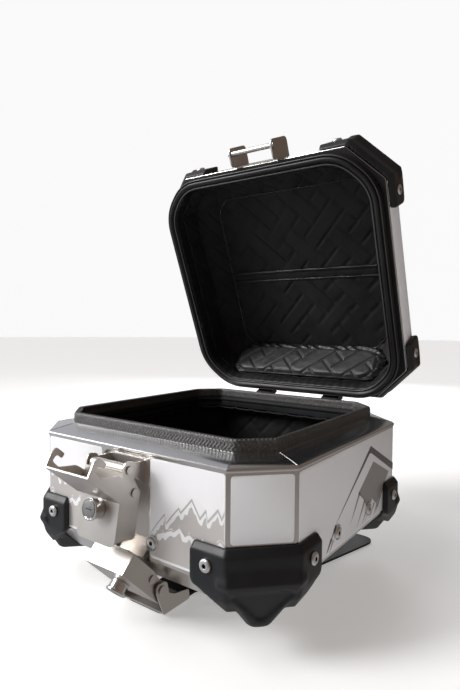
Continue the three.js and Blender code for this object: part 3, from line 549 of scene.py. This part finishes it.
SKIN = 0.35  # thickness of the vinyl
INK = 0.12  # thickness of a printed layer
HEX_RADIUS = 2.3
HEAD_SIDES = 36  # points round a bolt or rivet head
BUTTON_HEAD = (  # radius, height above the seat, and 1 where the ring is six-sided
    (7.0, 0, 0), (7.1, 0.5, 0), (7.0, 1.4, 0), (6.6, 2.2, 0), (5.8, 2.7, 0), (4.6, 2.95, 0),
    (3.0, 3.05, 0), (HEX_RADIUS, 2.8, 1), (HEX_RADIUS, 0.9, 1), (0.2, 0.6, 0),
)
RIVET_HEAD = (
    (6.5, 0, 0), (6.6, 0.6, 0), (6.2, 1.5, 0), (5.2, 2.2, 0), (4.2, 2.5, 0), (3.0, 2.6, 0),
    (2.2, 2.3, 1), (2.2, 0.9, 1), (0.2, 0.7, 0),
)
RIVET_WASHER = ((8.9, 0, 0), (8.9, 0.7, 0), (8.5, 1.0, 0), (7.4, 1.0, 0), (7.1, 0.7, 0), (7.1, 0, 0))


def paint_socket_shade(made, rows):
    """Gives the walls and floor of a head's hexagon socket a near-black material: painted shade in the recess."""
    first = next(i for i, (_, _, six) in enumerate(rows) if six)
    made.data.materials.append(PAINTED_SHADE)
    for face in made.data.polygons:
        face.material_index = int(face.index >= first * HEAD_SIDES)


def outward_plane(node, axis_index, sign):
    """On the outer side of a bolt: z out along X or Y, at the bolt's middle."""
    low, high = closed_box(node)
    middle = (low + high) / 2
    outward = Vector((0, 0, 0))
    outward[axis_index] = sign
    origin = middle.copy()
    origin[axis_index] = high[axis_index] if sign > 0 else low[axis_index]
    return plane(origin - outward * 3.8, UP.cross(outward), UP)


def bolts():
    for part in ("base", "lid"):
        for corner, side_x, side_y in CORNERS:
            for letter, index, sign in (("x", 0, side_x), ("y", 1, side_y)):
                node = f"{part}_bolt_{corner}_{letter}"
                # a bolt is shorter along its axis than its head is wide
                low, high = closed_box(node)
                if high[index] - low[index] > high[1 - index] - low[1 - index]:
                    index, sign = 1 - index, (side_x if index == 1 else side_y)
                place = outward_plane(node, index, sign)
                made = piece(node + "_head", *turned(BUTTON_HEAD, place, HEAD_SIDES), BODY_OF[node],
                             "bolt_steel", MATERIAL["bolt_steel"], 32, swing=part == "lid")
                paint_socket_shade(made, BUTTON_HEAD)
                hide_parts(node)


def rivets():
    """Small bolts along the base's lower edge, holding the liner's stiffener."""
    rows = [(FRONT, x, 100) for x in (-43, 43)]
    rows += [(place, y, 101) for place in (LEFT, RIGHT) for y in (-48, 48)]
    for i, (place, along, z) in enumerate(rows):
        seat = place @ Matrix.Translation((along, z, SKIN + 0.5))
        head = piece(f"base_rivet_{i + 1}", *turned(RIVET_HEAD, seat, HEAD_SIDES), "case",
                     "bolt_steel", MATERIAL["bolt_steel"], 32)
        paint_socket_shade(head, RIVET_HEAD)
        piece(f"base_rivet_washer_{i + 1}", *turned(RIVET_WASHER, seat, HEAD_SIDES), "case",
              "bolt_steel", POLISHED, 32)


# ------------------------------------------------------------------ rim, collar and seal
def rim():
    """A mitred extrusion with a polished outer nose and an upturned lip at the collar."""
    top = [
        (-0.2, 199.9), (0.9, 200.7), (10, 202.9), (20, 205.2), (29.0, 207.3), (29.5, 207.8),
        (29.9, 207.9), (30.2, 207.6), (30.2, 205.6), (3, 198.6), (0.3, 198.3),
    ]
    nose = [
        (0.25, 195.2), (-0.8, 195.7), (-1.05, 196.5), (-1.05, 198.6), (-0.75, 199.5), (0.3, 200.2),
        (0.3, 198.3),
    ]
    made = piece("rim_top", *hoop(top, case_outline), "case",
                 "rim_aluminium", MATERIAL["rim_aluminium"], 32)
    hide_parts("base_rim")
    piece("rim_nose", *hoop(nose, case_outline), "case",
          "rim_aluminium", POLISHED, 32)
    beads = []
    outer = case_outline(1.5, 0, 1)
    inner = case_outline(28, 0, 1)
    for a, b in zip(outer, inner):
        beads.append(tube([Vector((a.x, a.y, 200.7)), Vector((b.x, b.y, 207.0))], 0.55, sides=8))
    piece("rim_mitres", *gathered(beads), "case", "rim_aluminium", POLISHED, 50)


BRAID_ROW = 5.0  # height of one row of chevrons


def collar_outline(inset):
    return case_outline(inset, 12, 6)


def collar():
    """A moulded hoop dressed with a braid that wraps its outer, top and inner faces."""
    _, high = closed_box("base_collar")
    foot, top = EDGE_Z + 7.5, high.z - 1.0
    path = [Vector((30.3, foot)), Vector((30.3, top - 1.6)), Vector((31.3, top)),
            Vector((34.3, top)), Vector((35.4, top - 1.6)), Vector((35.4, foot + 3))]
    profile, travelled = [], 0.0
    for a, b in zip(path, path[1:]):
        parts = max(1, round((b - a).length / 1.0))
        out = Vector((-(b - a).y, (b - a).x)).normalized()
        for k in range(parts):
            profile.append((a.lerp(b, k / parts), out, travelled + (b - a).length * k / parts))
        travelled += (b - a).length
    profile.append((path[-1], out, travelled))
    count = 1560
    chevrons = 260
    verts = []
    for spot, out, distance in profile:
        fold = abs(distance / BRAID_ROW % 2 - 1)
        line = resampled(collar_outline(spot.x), count)
        lifted = resampled(collar_outline(spot.x + out.x), count)
        for k in range(count):
            yarn = max(0.0, math.sin(2 * math.pi * (k / count * chevrons - fold * 1.1)))
            rise = 0.1 + 0.8 * yarn
            point = line[k].lerp(lifted[k], rise)
            verts.append((point.x, point.y, spot.y + out.y * rise))
    braid = piece("collar_braid", verts, bridged(count, len(profile)), "case", "moulded_black",
                  BRAID, 60)
    thicken(braid, 0.5)
    body = [
        (30.8, 192), (30.5, 200), (30.5, 219.2), (30.9, 220.4), (31.9, 220.8), (33.7, 220.8),
        (35.0, 220.2), (35.2, 219), (35.2, 202), (35.6, 200.6), (37.3, 199), (37.3, 192),
    ]
    made = piece("collar_hoop", *hoop(body, collar_outline), "case",
                 "moulded_black", MATERIAL["moulded_black"], 40)
    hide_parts("base_collar")
    ring = [(36.4, 203.6), (37.4, 204.4), (38.9, 204.2), (39.3, 202.8), (38.4, 201.4), (36.6, 201.4)]
    piece("collar_inner_ring", *hoop(ring, collar_outline), "case",
          "rim_aluminium", MATERIAL["plate_grey"], 50)


def seal():
    """Broad rubber moulding round the lid's rim with a lip at each side, drawn lid closed."""
    def outline(inset):
        return case_outline(inset, 78 - inset, 14)

    profile = [
        (17.6, 223.2), (17.9, 212.0), (17.6, 209.2), (16.9, 208.3), (16.1, 208.2), (15.5, 209.2),
        (14.9, 208.4), (13.5, 206.6), (11.6, 205.4), (9.6, 205.2), (8.2, 206.0), (7.4, 207.6),
        (6.9, 208.6), (6.3, 207.4), (5.6, 207.0), (5.1, 207.9), (5.0, 210.0), (5.0, 223.2),
    ]
    made = piece("lid_seal_rubber", *hoop(profile, outline), "lid", "rubber_black",
                 MATERIAL["rubber_black"], 60, swing=True)
    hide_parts("lid_seal")
    for i, (inset, z, thick) in enumerate(((5.1, 208.3, 0.9), (17.4, 209.0, 1.25), (5.0, 216.0, 0.7))):
        line = [Vector((p.x, p.y, z)) for p in outline(inset)]
        # the outer and inner lips take the lighter rubber, a painted highlight; the third lip keeps the black
        # rubber
        piece(f"lid_seal_lip_{i + 1}", *tube(line, thick, True, 8), "lid", "rubber_black",
              HIGHLIT_RUBBER_LIP if i < 2 else MATERIAL["rubber_black"], 60, swing=True)


def liner_binding():
    """Gathered binding that hides the lid liner's edge above the seal."""
    count = 900
    rows = ((18.0, 211.5), (18.9, 212.6), (19.6, 216.0), (19.9, 221.0), (20.4, 226.0), (20.9, 231.0),
            (20.6, 233.5))
    verts = []
    for r, (inset, z) in enumerate(rows):
        line = resampled(case_outline(inset, 66 - inset, 14), count)
        lifted = resampled(case_outline(inset + 1, 66 - inset - 1, 14), count)
        swell = math.sin(math.pi * r / (len(rows) - 1))
        for k in range(count):
            fold = math.sin(k * 0.62) + 0.6 * math.sin(k * 0.23 + 1.3) * math.sin(k * 0.071)
            point = line[k].lerp(lifted[k], swell * (0.5 + 0.45 * fold))
            verts.append((point.x, point.y, z))
    made = piece("lid_liner_binding", verts, bridged(count, len(rows)), "lid", "quilted_lining",
                 GATHERED, 180, swing=True)
    thicken(made, 0.6)


# ------------------------------------------------------------------ vinyl panels and prints
def rectangle(x0, x1, y0, y1, radius=4):
    return rounded([(x0, y0, radius), (x1, y0, radius), (x1, y1, radius), (x0, y1, radius)])


def decal(name, outline, place, body, swing=False):
    """A vinyl panel with a softened edge."""
    piece(name, *slab(outline, place, 0.02, SKIN, SKIN * 0.4), body, "body_aluminium", VINYL, 30,
          swing=swing)


PANEL_END = 142  # half a wall panel's length
LATCH_SIDE = 39.5  # where the front panels stop beside the latch
PANEL_LOW = FOLD_Z + 3
PANEL_TOP = EDGE_Z - 4


def panels():
    for name, place in WALLS:
        spans = (("", -PANEL_END, PANEL_END),)
        if name == "front":
            spans = (("_left", -PANEL_END, -LATCH_SIDE), ("_right", LATCH_SIDE, PANEL_END))
        panel_top = EDGE_Z - 36 if name == "rear" else PANEL_TOP
        for ending, start, stop in spans:
            decal(f"vinyl_{name}{ending}", rectangle(start, stop, PANEL_LOW, panel_top), place, "case")
    low, high = FOLD_Z + PROTECTOR_RISE + 1.5, EDGE_Z - 5.5
    for corner, side_x, side_y in CORNERS:
        decal(f"vinyl_corner_{corner}", rectangle(-32.5, 32.5, low, high),
              corner_plane(side_x, side_y), "case")
    for name, place in WALLS:
        if name == "front":
            continue
        top = LID_FOLD - 3
        bottom = LID_RIM + (19 if name == "rear" else 4)
        decal(f"vinyl_lid_{name}", rectangle(-PANEL_END, PANEL_END, bottom, top), place, "lid",
              swing=True)
    crown = plane((0, 0, LID_FOLD + BEVEL_HIGH), (1, 0, 0), (0, 1, 0))
    decal("vinyl_lid_crown", rectangle(-118, 118, -118, 118, 26), crown, "lid", swing=True)


def band(line, down, tail):
    """A print that follows a line and is down mm deep, thinning towards its start by tail."""
    top = [Vector(p) for p in line]
    share = [i / (len(top) - 1) for i in range(len(top))]
    low = [p - Vector((0, down * (1 - tail * (1 - t)))) for p, t in zip(top, share)]
    return top + low[::-1]


def snowline(line, down, floor):
    """Everything below a ridge line down to floor, its top edge cut into streaks of snow."""
    edge = []
    for a, b in zip(line, line[1:]):
        a, b = Vector(a), Vector(b)
        parts = max(1, round((b - a).length / 4.5))
        for k in range(parts):
            t = k / parts
            streak = random.uniform(0.6, 4.2) if k % 2 else random.uniform(-1.2, 0.6)
            edge.append(a.lerp(b, t) - Vector((0, down + streak)))
    edge.append(Vector(line[-1]) - Vector((0, down)))
    return edge + [Vector((line[-1][0], floor)), Vector((line[0][0], floor))]


RIDGE = ((40, 111), (50, 124), (61, 137), (63, 127), (72, 138), (81, 148), (84, 144), (99, 161),
         (105, 152), (110, 144), (118, 154), (120, 143), (133, 158), (138, 150), (141, 157))
HILL = ((50, 113), (71, 122), (74, 121), (83, 128), (90, 120), (96, 124), (110, 117), (114, 121),
        (126, 117), (136, 127), (141, 124))


def ink(name, shape, material):
    piece(f"print_{name}", *shape, "case", "body_aluminium", material, 30)


def ridges(name, place, mirror):
    """A far ridge and a near hill in five printed layers; mirror is 1 or -1."""
    def shown(outline):
        return [Vector((p[0] * mirror, p[1])) for p in outline]

    layers = (
        ("far_fill", snowline(RIDGE, 8.5, 86), PRINT), ("ridge", band(RIDGE, 4.2, 0.6), PRINT),
        ("snow", snowline(HILL, -0.6, 86), VINYL), ("hill_line", band(HILL, 2.4, 0.4), PRINT),
        ("hill_fill", snowline(HILL, 7.0, 86), PRINT),
    )
    for k, (part, outline, material) in enumerate(layers):
        low = SKIN + INK * 0.5 * k
        ink(f"{name}_{part}", slab(shown(outline), place, low, low + INK), material)


def brush(points, place):
    """Long strokes that start along a line and thin out down and to the left."""
    strokes = []
    for x, y, reach, wide in points:
        tip = Vector((x - reach * 0.78, y - reach))
        strokes.append(slab([tip, Vector((x + wide, y - wide * 0.5)), Vector((x, y))], place,
                            SKIN, SKIN + INK))
    return gathered(strokes)


def prints():
    """Mountain shapes only: no lettering, badge or pictogram."""
    random.seed(7)
    ridges("front_right", FRONT, 1)
    ridges("front_left", FRONT, -1)
    peak = [(-58, 108), (54, 183), (144, 141), (143, 131), (56, 173), (50, 173)]
    block = [(14, 130), (65, 160), (126, 133), (104, 117), (80, 98), (60, 112), (46, 100), (34, 116)]
    for name, outline, material in (("peak", peak, PRINT_DARK), ("block", block, PRINT_MID)):
        shape = slab([Vector(p) for p in outline], RIGHT, SKIN, SKIN + INK)
        ink(f"right_{name}", shape, material)
    dark = [(-54, 112, 26, 3.5), (-66, 100, 15, 5), (-60, 96, 12, 2.5)]
    grey = [(16, 131, 33, 5), (34, 117, 30, 5), (44, 106, 20, 4), (58, 112, 26, 4), (68, 104, 18, 5),
            (80, 100, 14, 5), (92, 108, 22, 4), (103, 118, 26, 4)]
    ink("right_dark_strokes", brush(dark, RIGHT), PRINT_DARK)
    ink("right_strokes", brush(grey, RIGHT), PRINT_MID)


# ------------------------------------------------------------------ lining
RING_POINTS = 520
QUILT_ROUND = 1344  # length of quilting that goes once round the walls
CROWN_RINGS = 48  # rings from the walls to the middle of the crown or floor


def lining(name, rows, radius, body, node, crown_z, lift, swing):
    """Quilted tub: walls down the rows, then rings to the middle of the crown or floor."""
    verts, heights = [], []
    travelled = 0.0
    previous = None
    dense = []
    for (a, za), (b, zb) in zip(rows, rows[1:]):
        parts = max(1, round(math.hypot(b - a, zb - za) / 3.0))
        dense += [(a + (b - a) * k / parts, za + (zb - za) * k / parts) for k in range(parts)]
    dense.append(rows[-1])
    outlines = []
    for inset, z in dense:
        if previous:
            travelled += math.hypot(inset - previous[0], z - previous[1])
        previous = (inset, z)
        outlines.append((resampled(case_outline(inset, radius, 4), RING_POINTS), z, travelled, True))
    edge = outlines[-1][0]
    for k in range(1, CROWN_RINGS):
        outlines.append(([p * (1 - k / CROWN_RINGS) for p in edge], crown_z, 0, False))
    for line, z, distance, wall in outlines:
        for k, p in enumerate(line):
            if wall:
                height = quilt(k / RING_POINTS * QUILT_ROUND, distance)
            else:
                height = quilt(p.x, p.y)
            ripple = soft_noise((p.x, p.y, z), 9.0) * 0.35 + soft_noise((p.x, p.y, z), 26.0) * 0.6
            heights.append((height, ripple))
            verts.append(Vector((p.x, p.y, z)))
    faces = bridged(RING_POINTS, len(outlines))
    middle = len(verts)
    last = middle - RING_POINTS
    verts.append(Vector((0, 0, crown_z)))
    heights.append((quilt(0, 0), 0))
    faces += [(last + i, last + (i + 1) % RING_POINTS, middle) for i in range(RING_POINTS)]
    mesh = bpy.data.meshes.new(name)
    mesh.from_pydata([v * MM for v in verts], [], faces)
    mesh.update()
    work = bmesh.new()
    work.from_mesh(mesh)
    bmesh.ops.recalc_face_normals(work, faces=work.faces)
    work.normal_update()
    work.verts.ensure_lookup_table()
    centre = Vector((0, 0, (rows[0][1] + crown_z) / 2 * MM))
    for vert, (height, ripple) in zip(work.verts, heights):
        inward = vert.normal if vert.normal.dot(centre - vert.co) > 0 else -vert.normal
        vert.co += inward * (height * lift + ripple * 0.6) * MM
    work.to_mesh(mesh)
    work.free()
    if swing:
        mesh.transform(LID_SWING)
    made = dressed(name, mesh, body, MATERIAL["quilted_lining"], 180)
    face = mesh.polygons[len(mesh.polygons) // 2]
    inward = (LID_SWING @ centre if swing else centre) - face.center
    thicken(made, 2.0, -1 if face.normal.dot(inward) > 0 else 1)
    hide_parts(node)


def lid_lining():
    rows = [(20.4, 231.0), (20.4, 268.5), (24, 274), (50, 302.0)]
    lining("lid_quilt", rows, 10, "lid", "lid_liner", 302.8, 2.9, True)
    edge = [Vector((p.x, p.y, 300.2)) for p in resampled(case_outline(52, 14, 6), 300)]
    piece("lid_crown_piping", *tube(edge, 1.9, True, 10), "lid", "quilted_lining", PIPING, 60,
          swing=True)
    for k, (y, thick) in enumerate(((-4, 2.6), (12, 1.8))):
        line = [Vector((x, y, 299.4 + 0.5 * math.sin(x / 9))) for x in range(-142, 143, 4)]
        piece(f"lid_band_piping_{k + 1}", *tube(line, thick, False, 12), "lid", "quilted_lining",
              PIPING, 60, swing=True)
    strip = []
    for x in range(-142, 143, 4):
        bulge = 1.2 + 0.3 * math.sin(x / 7)
        strip.append([Vector((x, y, 301.5 - h)) for y, h in
                      ((-3, 0), (0, bulge), (4, bulge * 1.4), (8, bulge), (11, 0))])
    verts = [v for row in strip for v in row]
    faces = [(r * 5 + c, r * 5 + c + 1, (r + 1) * 5 + c + 1, (r + 1) * 5 + c)
             for r in range(len(strip) - 1) for c in range(4)]
    made = piece("lid_band", verts, faces, "lid", "quilted_lining", MATERIAL["quilted_lining"], 180,
                 swing=True)
    thicken(made, 1.0)


def base_lining():
    rows = [(38.5, 190), (15, 179), (14, 86), (20, 77), (49, 47.5)]
    lining("base_quilt", rows, 10, "case", "base_liner", 46.6, 2.2, False)


# The pad lies on a plane that leans from the seal to the crown beside the hinges: u runs
# along X, v up the slope and h out of it towards the inside.
PAD_FOOT = Vector((0, 166.5, 232.5))
PAD_SLOPE = Vector((0, -27.5, 65.5)).normalized()
PAD_OUT = Vector((0, -65.5, -27.5)).normalized()
PAD_EDGE = (154, -9, 75, 40)  # half width, low and high v, corner radius
PANEL_EDGE = (136, -2, 55, 26)  # the quilted panel inside the gathered border


def pad_point(u, v, h):
    return PAD_FOOT + Vector((u, 0, 0)) + PAD_SLOPE * v + PAD_OUT * h


def inside_round(u, v, edge):
    """How far a point is inside a rectangle with round corners; negative outside."""
    half, low, high, radius = edge
    a = abs(u) - (half - radius)
    b = abs(v - (low + high) / 2) - ((high - low) / 2 - radius)
    return radius - math.hypot(max(a, 0), max(b, 0)) - min(max(a, b), 0)


def pad_solid():
    """The stuffed wedge before it is blown up: thin at its rim, thick in the middle."""
    half, low, high, radius = PAD_EDGE
    outline = resampled(rounded([
        (-half, low, radius), (half, low, radius), (half, high, radius), (-half, high, radius),
    ], steps=10), 160)
    middle = Vector((0, (low + high) / 2))
    rows = ((1.0, 0.0), (0.98, 1.2), (0.9, 3.0), (0.6, 3.6), (0.2, 3.8))
    verts, faces = [], []
    for share, h in rows:
        verts += [pad_point(*(middle + (p - middle) * share), h) for p in outline]
    for share, h in ((0.97, -2.0), (0.6, -7.0), (0.2, -7.0)):
        verts += [pad_point(*(middle + (p - middle) * share), h) for p in outline]
    n = len(outline)
    front, back = list(range(len(rows))), [0] + list(range(len(rows), len(rows) + 3))
    for order, flip in ((front, False), (back, True)):
        for r, s in zip(order, order[1:]):
            for k in range(n):
                face = (r * n + k, r * n + (k + 1) % n, s * n + (k + 1) % n, s * n + k)
                faces.append(face[::-1] if flip else face)
        cap = tuple(order[-1] * n + k for k in range(n))
        faces.append(cap[::-1] if flip else cap)
    return verts, faces


def pad_surface(u, v):
    """Height of the sewing on the pad: quilted blocks, a sunk seam and gathers round it."""
    panel = inside_round(u, v, PANEL_EDGE)
    if panel > 0:
        return quilt(u * 1.02, v + 9) * 2.6 * min(1, panel / 4) - 0.6
    rim = max(0.0, min(1.0, inside_round(u, v, PAD_EDGE) / 12))
    around = math.atan2(v - 26, u * 0.35) * 34
    top = max(0.0, min(1.0, (v - 40) / 14))
    tight = math.sin(around * 2.6 + math.sin(around * 0.9) * 1.4)
    loose = math.sin(u * 0.24 + v * 0.5 + 1.6 * math.sin(u * 0.083))
    gather = (1 - top) * tight * 0.8 + top * (loose * 1.5 + tight * 0.4)
    seam = math.sin(min(1.0, -panel / 9) * math.pi / 2)
    return seam * (0.9 + gather) * (0.35 + 0.65 * rim) - 1.0


def lid_pad():
    """Stuffed pad beside the hinges: blown up by a cloth run, then quilted and gathered."""
    mesh = bpy.data.meshes.new("lid_pad_quilt")
    verts, faces = pad_solid()
    mesh.from_pydata([v * MM for v in verts], [], faces)
    work = bmesh.new()
    work.from_mesh(mesh)
    bmesh.ops.recalc_face_normals(work, faces=work.faces)
    work.to_mesh(mesh)
    work.free()
    made = bpy.data.objects.new("lid_pad_quilt", mesh)
    bpy.context.scene.collection.objects.link(made)
    remesh = made.modifiers.new("skin", "REMESH")
    remesh.mode = "VOXEL"
    remesh.voxel_size = 3.5 * MM
    apply_modifiers(made)
    inflate(made, 3 * MM)
    for _ in range(2):
        subdivide = made.modifiers.new("fine", "SUBSURF")
        subdivide.levels = subdivide.render_levels = 1
        apply_modifiers(made)
    mesh = made.data
    sewn = []
    for vert in mesh.vertices:
        toward = max(0.0, min(1.0, vert.normal.dot(PAD_OUT) * 1.6))
        place = vert.co / MM - PAD_FOOT
        rise = pad_surface(place.x, place.dot(PAD_SLOPE)) + soft_noise(place, 13.0) * 0.5
        sewn.append(vert.co + vert.normal * rise * toward * MM)
    for vert, place in zip(mesh.vertices, sewn):
        vert.co = place
    mesh.transform(LID_SWING)
    mesh.materials.clear()
    mesh.materials.append(PAD_CLOTH)
    mesh.materials.append(GATHERED)
    for face in mesh.polygons:
        place = UNSWING @ face.center / MM - PAD_FOOT
        face.material_index = int(inside_round(place.x, place.dot(PAD_SLOPE), PANEL_EDGE) < 0)
    mesh.shade_smooth()
    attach(made, "lid")
    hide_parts("lid_pad")


def apply_modifiers(made):
    """Replaces a piece's mesh by its evaluated one."""
    graph = bpy.context.evaluated_depsgraph_get()
    mesh = bpy.data.meshes.new_from_object(made.evaluated_get(graph))
    made.modifiers.clear()
    made.data = mesh


def inflate(made, cap):
    """Cloth under pressure with no gravity; no point moves further than cap."""
    before = [v.co.copy() for v in made.data.vertices]
    cloth = made.modifiers.new("cloth", "CLOTH")
    cloth.settings.use_pressure = True
    cloth.settings.uniform_pressure_force = 4
    cloth.settings.effector_weights.gravity = 0
    for number in range(1, 21):
        bpy.context.scene.frame_set(number)
    apply_modifiers(made)
    bpy.context.scene.frame_set(1)
    for vert, start in zip(made.data.vertices, before):
        shift = vert.co - start
        if shift.length > cap:
            vert.co = start + shift.normalized() * cap


# ------------------------------------------------------------------ latch details
def lock_face(node, joint):
    """On a lock plug's outer face: z out along its joint's axis, x along the case's X."""
    row = next(j for j in frame["joints"] if j["name"] == joint)
    axis = Vector(row["axis"]).normalized()
    pivot = Vector(row["pos_m"])
    verts = frame["nodes"][node].data.vertices
    reach = max((v.co - pivot).dot(axis) for v in verts)
    across = Vector((1, 0, 0))
    return plane((pivot + axis * reach) / MM, across, axis.cross(across))


def locks():
    """A dark face in each lock's polished cap, with a near-black strip of painted shade for its key slot."""
    for node, joint, body in (("latch_lock_plug", "latch_lock_turn", "lock_plug"),
                              ("lower_lock_plug", "lower_lock_turn", "lower_lock_plug")):
        place = lock_face(node, joint)
        # the key slot is a near-black strip standing just proud of the face: painted shade for the opening
        slot = rectangle(-5.2, 5.2, -0.55, 0.55, 0.5)
        piece(f"{node}_keyway", *slab(slot, place, -0.15, 0.12), body, "lock_chrome", PAINTED_SHADE, 30)
        disc = [(9.2, -0.3, 0), (9.2, 0.02, 0), (8.9, 0.06, 0), (0.3, 0.06, 0)]
        piece(f"{node}_face", *turned(disc, place, 48), body, "lock_chrome", LOCK_FACE, 40)


def spring():
    """Hairpin spring wound on the lower hook's pin."""
    low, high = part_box("lower_hook_pin")
    centre = (low + high) / 2 / MM
    points = []
    turns, steps = 6, 16
    radius, length, wire = 5.2, 16, 0.8
    for k in range(turns * steps + 1):
        angle = 2 * math.pi * k / steps
        along = -length / 2 + length * k / (turns * steps)
        points.append(centre + Vector((along, radius * math.cos(angle), radius * math.sin(angle))))
    leg = Vector((0, -0.5, -0.86)) * 14
    points = [points[0] + leg] + points + [points[-1] + leg]
    piece("lower_latch_spring", *tube(points, wire, False, 8), "lower_hook", "latch_steel", SPRING, 60)


# ------------------------------------------------------------------ stage
def studio():
    azimuth, elevation, roll = (math.radians(a) for a in (35.87, 2.45, 0.46))
    back = Vector((math.sin(azimuth) * math.cos(elevation),
                   -math.cos(azimuth) * math.cos(elevation), math.sin(elevation)))
    right = Vector((math.cos(azimuth), math.sin(azimuth), 0))
    up = back.cross(right)
    rolled_right = right * math.cos(roll) + up * math.sin(roll)
    rolled_up = back.cross(rolled_right)
    view = Matrix((rolled_right, rolled_up, back)).transposed().to_4x4()
    view.translation = Vector((437.2, -597.8, 342.6)) * MM
    data = bpy.data.cameras.new("camera")
    data.sensor_fit = "VERTICAL"
    data.sensor_height = 36
    data.lens = 26.87
    data.clip_start = 0.01
    camera = bpy.data.objects.new("camera", data)
    camera.matrix_world = view
    bpy.context.scene.collection.objects.link(camera)
    bpy.context.scene.camera = camera

    floor_and_dome()
    lights()
    surroundings()
    bpy.context.scene.view_settings.view_transform = "Standard"


def stage_piece(name, verts, faces, shader):
    mesh = bpy.data.meshes.new(name)
    mesh.from_pydata(verts, [], faces)
    mesh.materials.append(shader.material)
    made = bpy.data.objects.new(name, mesh)
    bpy.context.scene.collection.objects.link(made)
    return made


def floor_and_dome():
    """A pale floor, and a pale dome round it that only makes the background."""
    reach = 12.0
    pale = Shader("pale_floor", (0.86, 0.86, 0.86), 0.8)
    pale.tint(pale.noise(3, 3), (0.85, 0.85, 0.85), (0.87, 0.87, 0.87))
    pale.set("Emission Color", (1, 1, 1, 1))
    pale.set("Emission Strength", 0.3)
    corners = [(-reach, -reach, 0), (reach, -reach, 0), (reach, reach, 0), (-reach, reach, 0)]
    floor = stage_piece("floor", corners, [(0, 1, 2, 3)], pale)
    floor.visible_glossy = False
    glow = Shader("pale_background", (0, 0, 0), 1.0)
    glow.set("Emission Color", (1, 1, 1, 1))
    glow.set("Emission Strength", 0.95)
    ball = bmesh.new()
    bmesh.ops.create_uvsphere(ball, u_segments=48, v_segments=24, radius=reach * 0.95)
    dome = stage_piece("backdrop", [], [], glow)
    ball.to_mesh(dome.data)
    ball.free()
    dome.visible_diffuse = False
    dome.visible_glossy = False
    dome.visible_transmission = False
    dome.visible_shadow = False


def lights():
    sun = bpy.data.lights.new("key", "SUN")
    sun.energy = 2.3
    sun.angle = math.radians(22)
    sun.color = (1.0, 0.99, 0.97)
    lamps = [(sun, (-1.1, -1.1, 1.25))]
    for name, place, width, power in (
        ("left_softbox", (-1.7, -1.3, 0.7), 1.1, 10),
        ("high_softbox", (-0.7, -1.0, 1.9), 1.0, 12),
        ("rear_softbox", (-0.9, 2.0, 0.9), 1.2, 14),
    ):
        softbox = bpy.data.lights.new(name, "AREA")
        softbox.shape = "DISK"
        softbox.size = width
        softbox.energy = power
        lamps.append((softbox, place))
    for light, place in lamps:
        lamp = bpy.data.objects.new(light.name, light)
        lamp.location = place
        aim = Vector((0, 0, 0.25)) - Vector(place)
        lamp.rotation_euler = aim.to_track_quat("-Z", "Y").to_euler()
        bpy.context.scene.collection.objects.link(lamp)


def surroundings():
    """What the metal mirrors: a pale room on the left, a warm dim one on the right."""
    world = bpy.data.worlds.new("studio")
    world.use_nodes = True
    tree = world.node_tree
    place = tree.nodes.new("ShaderNodeTexCoord")
    split = tree.nodes.new("ShaderNodeSeparateXYZ")
    tree.links.new(place.outputs["Generated"], split.inputs[0])

    def ramp(output, stops):
        shift = tree.nodes.new("ShaderNodeMath")
        shift.operation = "MULTIPLY_ADD"
        shift.inputs[1].default_value = 0.5
        shift.inputs[2].default_value = 0.5
        tree.links.new(split.outputs[output], shift.inputs[0])
        made = tree.nodes.new("ShaderNodeValToRGB")
        made.color_ramp.interpolation = "B_SPLINE"
        while len(made.color_ramp.elements) < len(stops):
            made.color_ramp.elements.new(0.5)
        for element, (position, colour) in zip(made.color_ramp.elements, stops):
            element.position = position
            element.color = (*colour, 1)
        tree.links.new(shift.outputs["Value"], made.inputs["Fac"])
        return made.outputs["Color"]

    sideways = ramp("X", ((0.1, (0.52, 0.53, 0.56)), (0.42, (0.16, 0.145, 0.13)),
                          (0.75, (0.10, 0.072, 0.055)), (1.0, (0.20, 0.15, 0.12))))
    upright = ramp("Z", ((0.0, (0.5, 0.49, 0.48)), (0.36, (0.22, 0.20, 0.19)),
                         (0.47, (0.0, 0.0, 0.0)), (1.0, (0.02, 0.02, 0.022))))
    lighter = tree.nodes.new("ShaderNodeMix")
    lighter.data_type = "RGBA"
    lighter.blend_type = "LIGHTEN"
    lighter.inputs["Factor"].default_value = 1.0
    tree.links.new(sideways, lighter.inputs["A"])
    tree.links.new(upright, lighter.inputs["B"])
    tree.links.new(lighter.outputs["Result"], tree.nodes["Background"].inputs["Color"])
    bpy.context.scene.world = world


for step in (carried_over, protectors, bolts, rivets, rim, collar, seal, panels, prints,
             liner_binding, lid_lining, base_lining, lid_pad, locks, spring, studio):
    step()
for name, node in frame["nodes"].items():
    if not node.hide_render and node.type == "MESH":
        node.data.materials.clear()
        node.data.materials.append(MATERIAL[SLOT_OF[name]])
